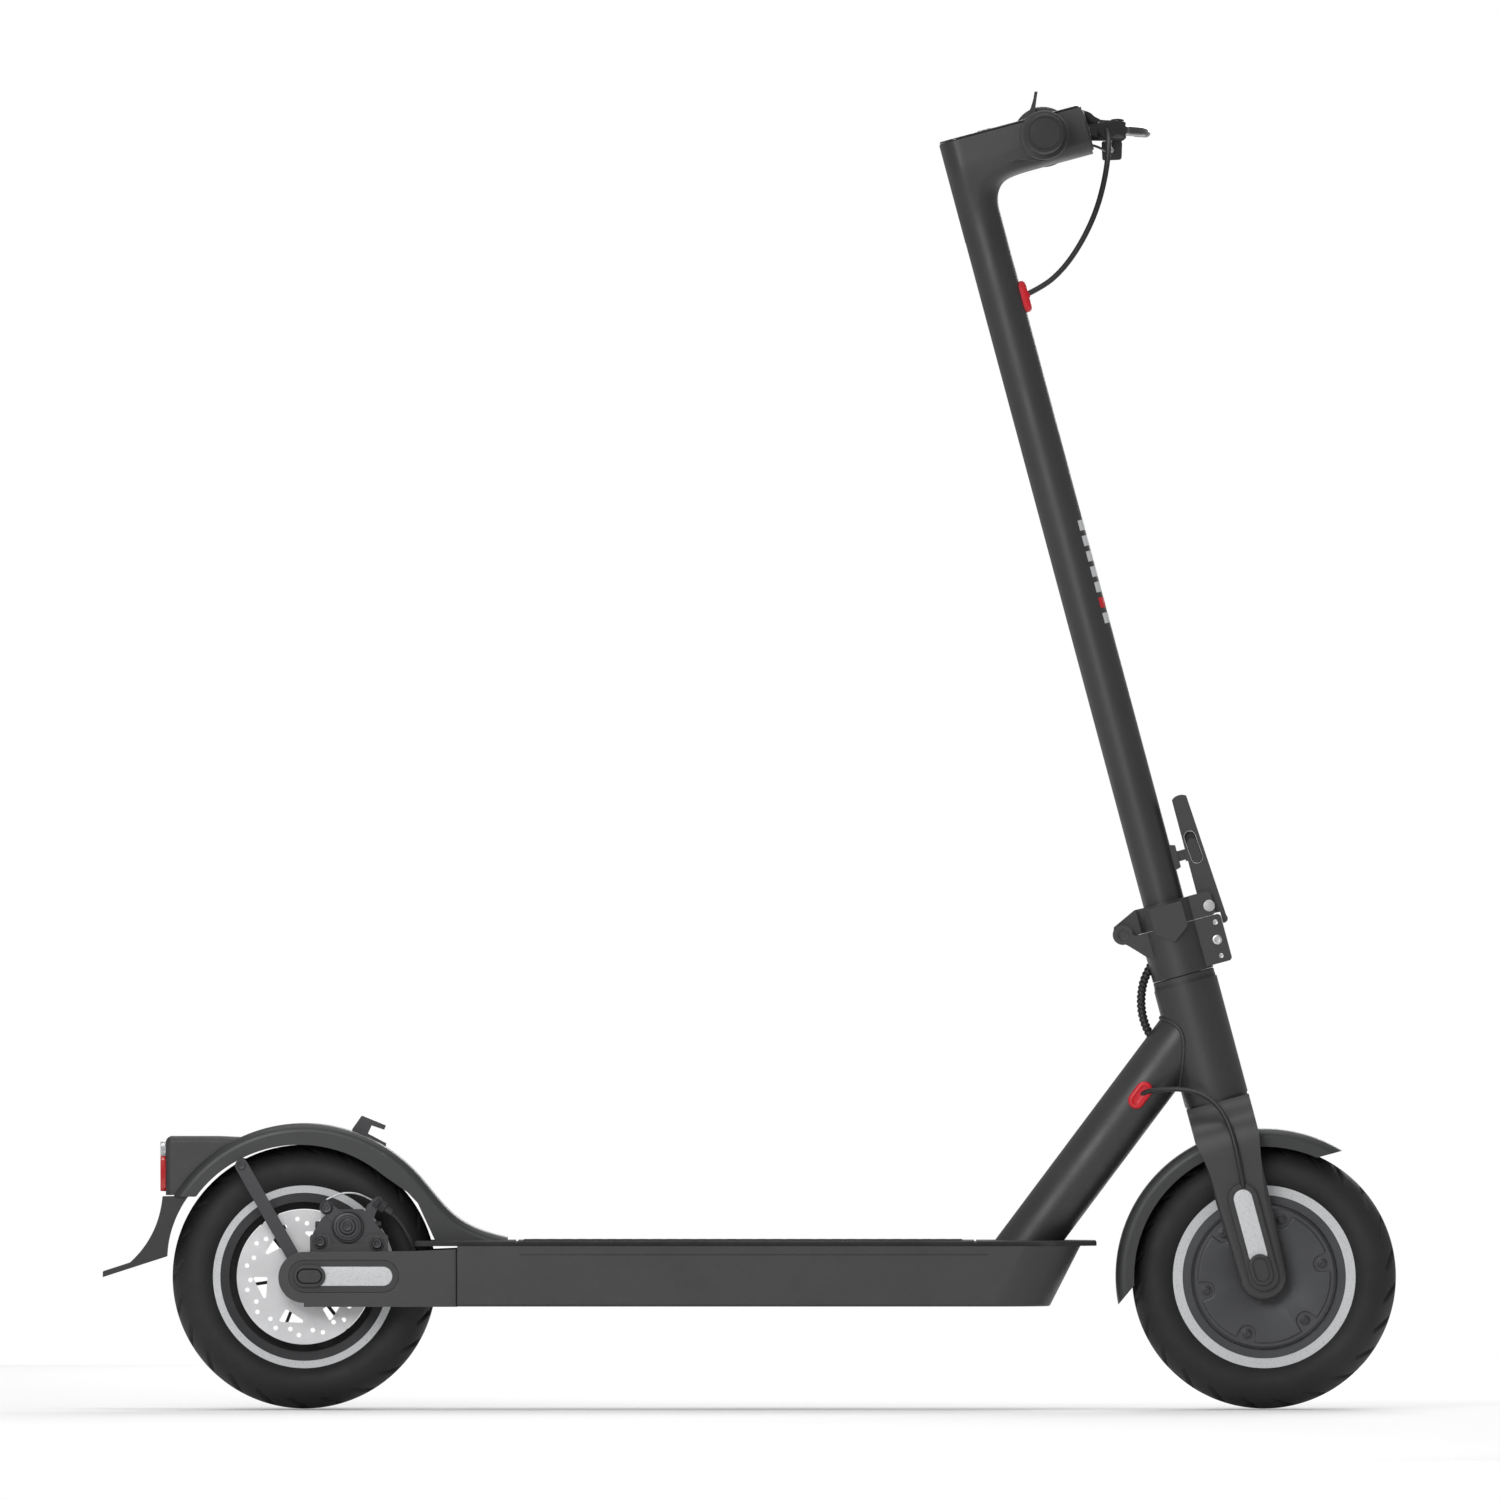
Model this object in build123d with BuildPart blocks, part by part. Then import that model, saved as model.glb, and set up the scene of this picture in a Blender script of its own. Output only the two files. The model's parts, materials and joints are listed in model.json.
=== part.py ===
from build123d import *
import math
import os

os.makedirs("parts", exist_ok=True)

# Electric kick scooter, millimetres.
# +X points forward, +Y to the rider's left, +Z up.  The origin is on the ground,
# at the middle of the overall box.

# ---------------------------------------------------------------- driving dimensions
tyre_r = 110.0                  # outer radius of both tyres
tyre_w = 50.0
front_axle_x = 428.5
rear_axle_x = -371.0
rake = 15.0                     # lean of the steering axis, degrees
axle_z = tyre_r
axle_r = 6.0
run_gap = 0.05                  # radial running clearance of a pin or shaft
part_gap = 0.3                  # gap between faces on different bodies
bar_half = 215.0                # half the handlebar's width

# ---------------------------------------------------------------- frames of reference
c_rake = math.cos(math.radians(rake))
s_rake = math.sin(math.radians(rake))
steer_dir = Vector(-s_rake, 0, c_rake)      # up the steering axis
fore_dir = Vector(c_rake, 0, s_rake)        # forward, square to the steering axis
front_axle = Vector(front_axle_x, 0, axle_z)
rear_axle = Vector(rear_axle_x, 0, axle_z)


def steer(n, s, y=0.0):
    """Point n forward of the steering axis and s up it from the front axle."""
    return front_axle + fore_dir * n + steer_dir * s + Vector(0, y, 0)


def steer_side(y=0.0):
    """Side plane of the steering assembly: local x is n, local y is s, normal -Y."""
    return Plane(origin=steer(0, 0, y), x_dir=fore_dir, z_dir=(0, -1, 0))


def steer_level(s, n=0.0):
    """Plane square to the steering axis at height s: local x is forward, local y is +Y."""
    return Plane(origin=steer(n, s), x_dir=fore_dir, z_dir=steer_dir)


def side(y=0.0, x=0.0, z=0.0):
    """Upright side plane: local x is +X, local y is +Z, normal -Y."""
    return Plane(origin=(x, y, z), x_dir=(1, 0, 0), z_dir=(0, -1, 0))


def half_section(axle):
    """Plane through a wheel's axis: local x is +Y, local y is the radius."""
    return Plane(origin=axle, x_dir=(0, 1, 0), z_dir=(1, 0, 0))


def wheel_axis(axle):
    return Axis(origin=axle, direction=(0, 1, 0))


def polar(r, degrees):
    return (r * math.cos(math.radians(degrees)), r * math.sin(math.radians(degrees)))


def cord_radii(name, points, diameter):
    """Largest arc that both runs beside each corner allow."""
    vectors = [Vector(*p) for p in points]
    radii = []
    for before, here, after in zip(vectors, vectors[1:], vectors[2:]):
        run_in = here - before
        run_out = after - here
        half_turn = math.radians(run_in.get_angle(run_out)) / 2
        radii.append(0.45 * min(run_in.length, run_out.length) / math.tan(half_turn))
    print(name, "diameter", diameter, "radii", [round(r, 1) for r in radii])
    return radii


# ================================================================ wheels
tyre_bead_r = 68.0              # where the tyre sits on its rim
tyre_bead_half = 20.0
tyre_wall = 4.5
ring_out_r = 76.1               # pale ring on each sidewall
ring_t = 0.8


def tyre_section(bead_r):
    """Fills the current sketch with a tyre's section, in (y, radius)."""
    shoulder_y = 0.62 * tyre_w / 2
    shoulder_r = tyre_r - 4.6
    belly_r = (ring_out_r + shoulder_r) / 2
    with BuildLine() as outline:
        tread = ThreePointArc((-shoulder_y, shoulder_r), (0, tyre_r), (shoulder_y, shoulder_r))
        right = ThreePointArc(tread @ 1, (tyre_w / 2, belly_r), (tyre_bead_half, ring_out_r))
        base = Polyline(right @ 1, (tyre_bead_half, bead_r), (-tyre_bead_half, bead_r),
                        (-tyre_bead_half, ring_out_r))
        ThreePointArc(base @ 1, (-tyre_w / 2, belly_r), tread @ 0)
    make_face(outline.edges())
    air_half = tyre_w / 2 - tyre_wall
    air_height = (tyre_r - tyre_wall - (tyre_bead_r + 6)) / 2
    with Locations((0, tyre_r - tyre_wall - air_height)):
        Ellipse(air_half, air_height, mode=Mode.SUBTRACT)
    with Locations((0, bead_r)):
        Rectangle(2 * tyre_bead_half - 4 * tyre_wall, 40, mode=Mode.SUBTRACT)


def ring_section(low_r):
    """Pale ring on both sidewalls, in (y, radius)."""
    for sign in (-1, 1):
        with Locations((sign * (tyre_bead_half + ring_t / 2), (low_r + ring_out_r) / 2)):
            Rectangle(ring_t, ring_out_r - low_r)


# ---- front wheel: hub motor
motor_r = tyre_bead_r
motor_lip_half = tyre_bead_half
motor_core_r = 60.0
motor_core_half = 26.0
cover_r = 55.2
cover_t = 2.0
cover_tab_r = 7.3
cover_screw_pcr = 49.5          # radius of the screw circle
cover_screw_r = 3.2
cover_screw_phase = 13.3
cover_screws = 6
bearing_r = 14.0
bearing_w = 8.0

with BuildPart() as front_tyre:
    with BuildSketch(half_section(front_axle)):
        tyre_section(tyre_bead_r)
    revolve(axis=wheel_axis(front_axle))
front_tyre.part.label = "front_tyre"
export_step(front_tyre.part, "parts/front_tyre.step")

with BuildPart() as front_tyre_rings:
    with BuildSketch(half_section(front_axle)):
        ring_section(motor_r)
    revolve(axis=wheel_axis(front_axle))
front_tyre_rings.part.label = "front_tyre_rings"
export_step(front_tyre_rings.part, "parts/front_tyre_rings.step")

with BuildPart() as hub_motor:
    with BuildSketch(half_section(front_axle)):
        with BuildLine():
            Polyline((-motor_core_half, axle_r + 4), (-motor_core_half, motor_core_r - 2),
                     (-motor_core_half + 2, motor_core_r), (-motor_lip_half, motor_core_r + 1),
                     (-motor_lip_half, motor_r), (motor_lip_half, motor_r),
                     (motor_lip_half, motor_core_r + 1), (motor_core_half - 2, motor_core_r),
                     (motor_core_half, motor_core_r - 2), (motor_core_half, axle_r + 4), close=True)
        make_face()
    revolve(axis=wheel_axis(front_axle))
    for sign in (-1, 1):
        with BuildSketch(side(sign * motor_core_half, front_axle_x, axle_z)):
            Circle(bearing_r)
        extrude(amount=sign * bearing_w, mode=Mode.SUBTRACT)
hub_motor.part.label = "hub_motor"
export_step(hub_motor.part, "parts/hub_motor.step")

with BuildPart() as hub_covers:
    for sign in (-1, 1):
        with BuildSketch(side(sign * motor_core_half, front_axle_x, axle_z)):
            Circle(cover_r - 3.2)
            with PolarLocations(cover_screw_pcr, cover_screws, start_angle=cover_screw_phase):
                Circle(cover_tab_r)
            Circle(axle_r + 4.5, mode=Mode.SUBTRACT)
        extrude(amount=-sign * cover_t)
        with BuildSketch(side(sign * (motor_core_half + cover_t), front_axle_x, axle_z)):
            with PolarLocations(cover_screw_pcr, cover_screws, start_angle=cover_screw_phase):
                Circle(cover_screw_r)
        extrude(amount=-sign * 1.6)
hub_covers.part.label = "hub_covers"
export_step(hub_covers.part, "parts/hub_covers.step")


def wheel_bearings(axle_x, centre_half):
    """Two sealed bearings, one each side, in the current part."""
    for sign in (-1, 1):
        with BuildSketch(side(sign * (centre_half + bearing_w / 2), axle_x, axle_z)) as ring:
            Circle(bearing_r)
            Circle(axle_r + run_gap, mode=Mode.SUBTRACT)
        extrude(ring.sketch, amount=bearing_w / 2, both=True)


with BuildPart() as front_bearings:
    wheel_bearings(front_axle_x, motor_core_half - bearing_w)
front_bearings.part.label = "front_bearings"
export_step(front_bearings.part, "parts/front_bearings.step")

# ---- rear wheel: open rim, hub and disc
rim_lip_r = 70.0
rim_lip_in_r = 65.0
rim_well_r = 56.5
rim_lip_t = 1.4
rear_hub_r = 17.0
rear_hub_half = 30.0
rib_count = 6
rib_phase = 8.7
rib_t = 2.6
rotor_r = 56.1
rotor_t = 2.0
rotor_y = -34.0                 # inner face of the disc
rotor_flange_r = 23.0
rotor_bolt_pcr = 18.5
rotor_bolt_r = 1.9
rotor_windows = 6
rotor_window_base = 0.0         # angle of a window's straight radial edge
rotor_hole_r = 1.95

with BuildPart() as rear_tyre:
    with BuildSketch(half_section(rear_axle)):
        tyre_section(tyre_bead_r)
        for sign in (-1, 1):
            with Locations((sign * tyre_bead_half, tyre_bead_r)):
                Rectangle(2 * rim_lip_t, 2 * (rim_lip_r - tyre_bead_r), mode=Mode.SUBTRACT)
    revolve(axis=wheel_axis(rear_axle))
rear_tyre.part.label = "rear_tyre"
export_step(rear_tyre.part, "parts/rear_tyre.step")

with BuildPart() as rear_tyre_rings:
    with BuildSketch(half_section(rear_axle)):
        ring_section(rim_lip_r)
    revolve(axis=wheel_axis(rear_axle))
rear_tyre_rings.part.label = "rear_tyre_rings"
export_step(rear_tyre_rings.part, "parts/rear_tyre_rings.step")

with BuildPart() as rear_rim:
    with BuildSketch(half_section(rear_axle)):
        with BuildLine():
            lip = tyre_bead_half
            Polyline((-lip, rim_well_r + 6), (-lip, rim_lip_r), (-lip + rim_lip_t, rim_lip_r),
                     (-lip + rim_lip_t, tyre_bead_r), (lip - rim_lip_t, tyre_bead_r),
                     (lip - rim_lip_t, rim_lip_r), (lip, rim_lip_r), (lip, rim_well_r + 6),
                     (lip - 4, rim_well_r + 6), (lip - 6, rim_well_r), (-lip + 6, rim_well_r),
                     (-lip + 4, rim_well_r + 6), close=True)
        make_face()
    revolve(axis=wheel_axis(rear_axle))
    with BuildSketch(side(0, rear_axle_x, axle_z)):
        with PolarLocations((rear_hub_r + rim_well_r) / 2, rib_count, start_angle=rib_phase):
            Rectangle(rim_well_r - rear_hub_r + 4, rib_t)
    extrude(amount=10, both=True)
    with BuildSketch(side(0, rear_axle_x, axle_z)):
        Circle(rear_hub_r)
    extrude(amount=rear_hub_half, both=True)
    with BuildSketch(side(-rear_hub_half, rear_axle_x, axle_z)):
        Circle(rotor_flange_r)
    extrude(amount=-rotor_y - rear_hub_half)
    with BuildSketch(side(0, rear_axle_x, axle_z)):
        Circle(axle_r + 4)
    extrude(amount=60, both=True, mode=Mode.SUBTRACT)
    for sign in (-1, 1):
        with BuildSketch(side(sign * rear_hub_half, rear_axle_x, axle_z)):
            Circle(bearing_r)
        extrude(amount=sign * bearing_w, mode=Mode.SUBTRACT)
rear_rim.part.label = "rear_rim"
export_step(rear_rim.part, "parts/rear_rim.step")

with BuildPart() as brake_rotor:
    with BuildSketch(side(rotor_y, rear_axle_x, axle_z)):
        Circle(rotor_r)
        Circle(axle_r + 5.5, mode=Mode.SUBTRACT)
        for k in range(rotor_windows):
            base = rotor_window_base + 360 / rotor_windows * k
            with BuildLine():
                FilletPolyline(polar(30.5, base), polar(43.0, base), polar(38.5, base + 34),
                               close=True, radius=1.4)
            make_face(mode=Mode.SUBTRACT)
        with PolarLocations(48.6, 15, start_angle=96.7):
            Circle(rotor_hole_r, mode=Mode.SUBTRACT)
        with PolarLocations(44.8, 15, start_angle=87.1):
            Circle(rotor_hole_r, mode=Mode.SUBTRACT)
    extrude(amount=rotor_t)
    with BuildSketch(side(rotor_y - rotor_t, rear_axle_x, axle_z)):
        with PolarLocations(rotor_bolt_pcr, rotor_windows):
            Circle(2 * rotor_bolt_r)
    extrude(amount=2.2)
brake_rotor.part.label = "brake_rotor"
export_step(brake_rotor.part, "parts/brake_rotor.step")

with BuildPart() as rear_bearings:
    wheel_bearings(rear_axle_x, rear_hub_half - bearing_w)
rear_bearings.part.label = "rear_bearings"
export_step(rear_bearings.part, "parts/rear_bearings.step")

# ================================================================ deck and frame
deck_w = 150.0
deck_low_z = 85.75
deck_top_z = 136.0
deck_rear_x = -243.4
deck_front_low_x = 249.7
deck_front_top_x = 275.4
deck_side_wall = 3.5
deck_floor_t = 3.0
deck_roof_t = 4.0
deck_corner = 12.0
mat_t = 4.2
mat_rear_x = -279.0
mat_front_x = 290.8
mat_notch_x = rear_axle_x + tyre_r + 8
mat_margin = 4.0
mat_groove_x = (-194.0, 188.0)
mat_groove_w = 2.0
mat_groove_t = 1.2
deck_half = deck_w / 2

down_r = 23.2                   # down tube
down_wall = 2.5
down_lean = 53.2                # degrees above level
down_foot = (233.2, 140.4)      # where its axis crosses the mat, (x, z)
head_r = 27.0                   # head tube
head_low_s = 153.0
head_top_s = 253.0
steerer_r = 15.0
head_bore_r = 21.0
spacer_t = 7.0
down_dir = Vector(math.cos(math.radians(down_lean)), 0, math.sin(math.radians(down_lean)))


def down_tube_plane(x):
    """Plane square to the down tube where its axis stands over x."""
    z = down_foot[1] + (x - down_foot[0]) * math.tan(math.radians(down_lean))
    return Plane(origin=(x, 0, z), x_dir=(0, 1, 0), z_dir=down_dir)


# where the down tube's axis meets the steering axis
down_slope = math.tan(math.radians(down_lean))
rake_slope = math.tan(math.radians(rake))
meet_x = front_axle_x - rake_slope * (down_foot[1] - axle_z - down_slope * down_foot[0])
meet_x = meet_x / (1 + rake_slope * down_slope)

with BuildPart() as frame_tubes:
    with BuildSketch(down_tube_plane(down_foot[0] - 2 * down_r)):
        Circle(down_r)
    extrude(amount=(meet_x - down_foot[0] + 2 * down_r) / math.cos(math.radians(down_lean)))
    with BuildSketch(steer_level(head_low_s)):
        Circle(head_r)
    extrude(amount=head_top_s - head_low_s)
    with BuildSketch(steer_level(head_low_s)):
        Circle(head_bore_r)
    extrude(amount=head_top_s - head_low_s, mode=Mode.SUBTRACT)
    split(bisect_by=Plane(origin=(0, 0, deck_top_z), z_dir=(0, 0, 1)), keep=Keep.TOP)
frame_tubes.part.label = "frame_tubes"
export_step(frame_tubes.part, "parts/frame_tubes.step")

bearing_ring_t = 12.0
with BuildPart() as headset_bearings:
    with BuildSketch(steer_level(head_low_s)):
        Circle(head_bore_r)
        Circle(steerer_r + run_gap, mode=Mode.SUBTRACT)
    extrude(amount=bearing_ring_t)
    with BuildSketch(steer_level(head_top_s - bearing_ring_t)):
        Circle(head_bore_r)
        Circle(steerer_r + run_gap, mode=Mode.SUBTRACT)
    extrude(amount=bearing_ring_t)
    with BuildSketch(steer_level(head_top_s)):
        Circle(head_r - 1.0)
        Circle(steerer_r + run_gap, mode=Mode.SUBTRACT)
    extrude(amount=spacer_t)
    chamfer(edges().filter_by(GeomType.CIRCLE).sort_by(SortBy.RADIUS)[-1:], 0.8)
headset_bearings.part.label = "headset_bearings"
export_step(headset_bearings.part, "parts/headset_bearings.step")

# ---- deck
with BuildPart() as deck_shell:
    with BuildSketch(side()):
        with BuildLine():
            Polyline((deck_rear_x, deck_low_z), (deck_front_low_x, deck_low_z),
                     (deck_front_top_x, deck_top_z), (deck_rear_x, deck_top_z), close=True)
        make_face()
    extrude(amount=deck_half, both=True)
    fillet(edges().filter_by(lambda e: abs(e.center().X - (deck_front_low_x + deck_front_top_x) / 2) < 2
                             and abs(abs(e.center().Y) - deck_half) < 1), 42.0)
    fillet(edges().group_by(Axis.Z)[0].group_by(Axis.X)[-1], 2.5)
    pocket_half = deck_half - deck_side_wall
    pocket_x = (deck_rear_x + 8.0, deck_front_low_x - 45.0)
    with BuildSketch(Plane.XY.offset(deck_low_z)):
        with Locations(((pocket_x[0] + pocket_x[1]) / 2, 0)):
            RectangleRounded(pocket_x[1] - pocket_x[0], 2 * pocket_half, 6.0)
    extrude(amount=deck_top_z - deck_low_z - deck_roof_t, mode=Mode.SUBTRACT)
    for sign in (-1, 1):        # shallow groove along each side
        with BuildSketch(side(sign * deck_half)):
            with Locations(((deck_rear_x + deck_front_low_x) / 2, deck_top_z - 7)):
                Rectangle(deck_front_low_x - deck_rear_x - 2 * deck_corner - 80, 1.2)
        extrude(amount=sign * 0.8, mode=Mode.SUBTRACT)
    charge_x = 165.0
    charge_z = 112.0
    socket_r = 9.0
    with BuildSketch(side(deck_half, charge_x, charge_z)):
        Circle(socket_r)
    extrude(amount=deck_side_wall, mode=Mode.SUBTRACT)
deck_shell.part.label = "deck_shell"
export_step(deck_shell.part, "parts/deck_shell.step")

floor_screw_r = 1.5
floor_head_r = 3.0
floor_head_t = 1.0
with BuildPart() as deck_bottom:
    with BuildSketch(Plane.XY.offset(deck_low_z)):
        with Locations(((pocket_x[0] + pocket_x[1]) / 2, 0)):
            RectangleRounded(pocket_x[1] - pocket_x[0] - 0.6, 2 * pocket_half - 0.6, 5.7)
    extrude(amount=deck_floor_t)
    screw_pitch = (pocket_x[1] - pocket_x[0] - 24) / 4
    with BuildSketch(Plane.XY.offset(deck_low_z)):
        with Locations(((pocket_x[0] + pocket_x[1]) / 2, 0)):
            with GridLocations(screw_pitch, 2 * pocket_half - 14, 5, 2):
                Circle(floor_screw_r + 0.1)
    extrude(amount=deck_floor_t, mode=Mode.SUBTRACT)
    with BuildSketch(Plane.XY.offset(deck_low_z)):      # counterbores, so the heads sit flush
        with Locations(((pocket_x[0] + pocket_x[1]) / 2, 0)):
            with GridLocations(screw_pitch, 2 * pocket_half - 14, 5, 2):
                Circle(floor_head_r + 0.2)
    extrude(amount=floor_head_t + 0.2, mode=Mode.SUBTRACT)
    with BuildSketch(Plane.XY.offset(deck_low_z + deck_floor_t)):      # screws, each a solid of its own
        with Locations(((pocket_x[0] + pocket_x[1]) / 2, 0)):
            with GridLocations(screw_pitch, 2 * pocket_half - 14, 5, 2):
                Circle(floor_screw_r)
    extrude(amount=-(deck_floor_t - floor_head_t / 2))
    with BuildSketch(Plane.XY.offset(deck_low_z + 0.1)):
        with Locations(((pocket_x[0] + pocket_x[1]) / 2, 0)):
            with GridLocations(screw_pitch, 2 * pocket_half - 14, 5, 2):
                Circle(floor_head_r)
    extrude(amount=floor_head_t)
deck_bottom.part.label = "deck_bottom"
export_step(deck_bottom.part, "parts/deck_bottom.step")

battery_size = (300.0, 112.0, 34.0)
with BuildPart() as battery_pack:
    with BuildSketch(Plane.XY.offset(deck_low_z + deck_floor_t + 2)):
        with Locations((pocket_x[0] + 15 + battery_size[0] / 2, 0)):
            RectangleRounded(battery_size[0], battery_size[1], 5.0)
    extrude(amount=battery_size[2])
battery_pack.part.label = "battery_pack"
export_step(battery_pack.part, "parts/battery_pack.step")

controller_size = (90.0, 70.0, 26.0)
with BuildPart() as controller:
    with BuildSketch(Plane.XY.offset(deck_low_z + deck_floor_t + 2)):
        with Locations((pocket_x[1] - 12 - controller_size[0] / 2, 0)):
            RectangleRounded(controller_size[0], controller_size[1], 3.0)
    extrude(amount=controller_size[2])
    top = faces().sort_by(Axis.Z)[-1]
    with BuildSketch(Plane(top)):
        with GridLocations(12.0, 0, 7, 1):
            Rectangle(6.0, controller_size[1] - 8)
    extrude(amount=4.0)
controller.part.label = "controller"
export_step(controller.part, "parts/controller.step")

with BuildPart() as deck_mat:
    with BuildSketch(Plane.XY.offset(deck_top_z)):
        with BuildLine():
            front = mat_front_x - 2
            half = deck_half - mat_margin
            notch = tyre_w / 2 + 9.5
            FilletPolyline((mat_rear_x, -half), (front - 34, -half), (front, -34), (front, 34),
                           (front - 34, half), (mat_rear_x, half), (mat_rear_x, notch),
                           (mat_notch_x, notch), (mat_notch_x, -notch), (mat_rear_x, -notch),
                           close=True, radius=6.0)
        make_face()
        foot_gap = 0.8
        with Locations((down_foot[0] - (down_foot[1] - deck_top_z - mat_t / 2) / down_slope, 0)):
            Ellipse((down_r + foot_gap) / math.sin(math.radians(down_lean)) + mat_t / down_slope / 2,
                    down_r + foot_gap, mode=Mode.SUBTRACT)
    extrude(amount=mat_t)
    fillet(faces().sort_by(Axis.Z)[-1].outer_wire().edges(), 1.2)
    with BuildSketch(Plane.XY.offset(deck_top_z + mat_t)):      # grooves that bound the standing area
        with Locations(*((x, 0) for x in mat_groove_x)):
            Rectangle(mat_groove_w, deck_w)
    extrude(amount=-mat_groove_t, mode=Mode.SUBTRACT)
deck_mat.part.label = "deck_mat"
export_step(deck_mat.part, "parts/deck_mat.step")

# ---- rear arms, axle and covers
arm_out_y = 70.0
arm_t = 14.0
arm_end_r = 21.2
arm_top_z = 131.8
arm_seam_top_z = 133.5
arm_low_z = 89.4
flange_low_z = 85.5
recess_x = (-383.9, -291.8)
recess_z = (97.4, 124.6)
recess_deep = 2.5
nut_r = 10.0
nut_t = 6.0
arm_in_y = arm_out_y - arm_t
nut_y = arm_out_y - recess_deep - nut_t - 0.5
recess_mid = ((recess_x[0] + recess_x[1]) / 2, (recess_z[0] + recess_z[1]) / 2)
tab_x = (-366.0, -301.0)        # brake mount tab on the right arm
tab_top_z = 145.5
tab_dip_z = 137.5
tab_t = 5.0
tab_y = -arm_in_y
caliper_bolts_xz = ((-357.6, 139.7), (-310.3, 138.1))

with BuildPart() as rear_arms:
    for sign in (-1, 1):
        with BuildSketch(side(sign * (arm_in_y + arm_t / 2))):
            with BuildLine():
                Polyline((deck_rear_x, flange_low_z), (rear_axle_x, flange_low_z),
                         (rear_axle_x, axle_z), (rear_axle_x + 3, arm_top_z - 0.4),
                         (deck_rear_x - 40, arm_top_z), (deck_rear_x, arm_seam_top_z), close=True)
            make_face()
            with Locations((rear_axle_x, axle_z)):
                Circle(arm_end_r)
        extrude(amount=arm_t / 2, both=True)
    fillet(edges().filter_by(Axis.Z).group_by(Axis.X)[-1], 1.5)
    for sign in (-1, 1):
        with BuildSketch(side(sign * arm_out_y, *recess_mid)):
            SlotOverall(recess_x[1] - recess_x[0], recess_z[1] - recess_z[0])
        extrude(amount=sign * recess_deep, mode=Mode.SUBTRACT)
        with BuildSketch(side(sign * arm_out_y, rear_axle_x, axle_z)):
            Circle(nut_r + 1.5)
        extrude(amount=sign * (arm_out_y - nut_y), mode=Mode.SUBTRACT)
        with BuildSketch(side(sign * arm_out_y, rear_axle_x, axle_z)):
            Circle(axle_r)
        extrude(amount=sign * 2 * arm_t, mode=Mode.SUBTRACT)
    with BuildSketch(side(tab_y)):
        with BuildLine():
            FilletPolyline((tab_x[0], 118), (tab_x[1], 118), (tab_x[1], tab_top_z), (-318.0, tab_top_z),
                           (-322.0, tab_dip_z), (-347.0, tab_dip_z), (-350.5, tab_top_z),
                           (tab_x[0], tab_top_z), close=True, radius=2.0)
        make_face()
        with Locations(*caliper_bolts_xz):
            Circle(2.5, mode=Mode.SUBTRACT)
    extrude(amount=-tab_t)
rear_arms.part.label = "rear_arms"
export_step(rear_arms.part, "parts/rear_arms.step")

with BuildPart() as rear_axle_bolt:
    with BuildSketch(side(0, rear_axle_x, axle_z)):
        Circle(axle_r)
    extrude(amount=nut_y + nut_t, both=True)
    for sign in (-1, 1):
        with BuildSketch(side(sign * nut_y, rear_axle_x, axle_z)):
            RegularPolygon(nut_r, 6)
        extrude(amount=-sign * nut_t)
        with BuildSketch(side(sign * arm_in_y, rear_axle_x, axle_z)):
            Circle(axle_r + 3.5)
        extrude(amount=sign * (arm_in_y - rear_hub_half - part_gap))
rear_axle_bolt.part.label = "rear_axle"
export_step(rear_axle_bolt.part, "parts/rear_axle.step")

cap_x = (-379.8, -353.0)
cap_h = 18.7
with BuildPart() as arm_covers:
    for sign in (-1, 1):
        with BuildSketch(side(sign * (arm_out_y - recess_deep), *recess_mid)):
            SlotOverall(recess_x[1] - recess_x[0] - 0.8, recess_z[1] - recess_z[0] - 0.8)
        extrude(amount=-sign * (recess_deep - 0.4))
        with BuildSketch(side(sign * (arm_out_y - 0.4), (cap_x[0] + cap_x[1]) / 2, recess_mid[1])):
            SlotOverall(cap_x[1] - cap_x[0], cap_h)
        extrude(amount=-sign * 2.2)
arm_covers.part.label = "arm_covers"
export_step(arm_covers.part, "parts/arm_covers.step")

# ---- rear fender, hook, stays, lamp and flap
fender_r = 127.8
fender_lip_r = 108.1
fender_lip_back = 3.9           # the lip's circle is centred behind and above the axle
fender_lip_up = 2.0
fender_half = 33.0
fender_t = 2.6
fender_end_z = 176.8            # its rear end is cut level at this height
fender_front_deg = 45.4
fender_end = (-201.7, 143.1)
mat_z = deck_top_z + mat_t


def around(axle, r, degrees):
    """(x, z) at radius r and an angle measured up from forward, about a wheel's axle."""
    return (axle.X + r * math.cos(math.radians(degrees)), axle.Z + r * math.sin(math.radians(degrees)))


def rear_end_deg(r, z):
    """Angle at which a circle of radius r about the rear axle comes down to height z."""
    return 180 - math.degrees(math.asin((z - axle_z) / r))


def fender_outline(inset, drop):
    """Side outline of the rear fender, its outer line moved in by inset and its lip by drop."""
    outer = fender_r - inset
    lip = fender_lip_r - drop
    lip_centre = rear_axle + Vector(-fender_lip_back, 0, fender_lip_up)
    lip_end_deg = 180 - math.degrees(math.asin((fender_end_z - drop - lip_centre.Z) / lip))
    start = around(rear_axle, outer, rear_end_deg(outer, fender_end_z - drop))
    middle = around(rear_axle, outer, 100)
    finish = around(rear_axle, outer, fender_front_deg)
    arc = ThreePointArc(start, middle, finish)
    foot = Spline(arc @ 1, (-243.3 - inset, 160 - inset), (-228 - inset, 151.2 - inset),
                  (fender_end[0], fender_end[1] - inset),
                  tangents=[arc % 1, Vector(1, -0.25)])
    lip_low = around(lip_centre, lip, 50)
    lines = Polyline(foot @ 1, (fender_end[0], mat_z - drop), (-262 + drop, mat_z - drop),
                     (-266.5 + drop, 150), (-276.5 + drop, 171.5), (-285, 180.5 - drop), lip_low)
    back = ThreePointArc(lip_low, around(lip_centre, lip, 100), around(lip_centre, lip, lip_end_deg))
    Line(back @ 1, arc @ 0)
    return lines


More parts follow.
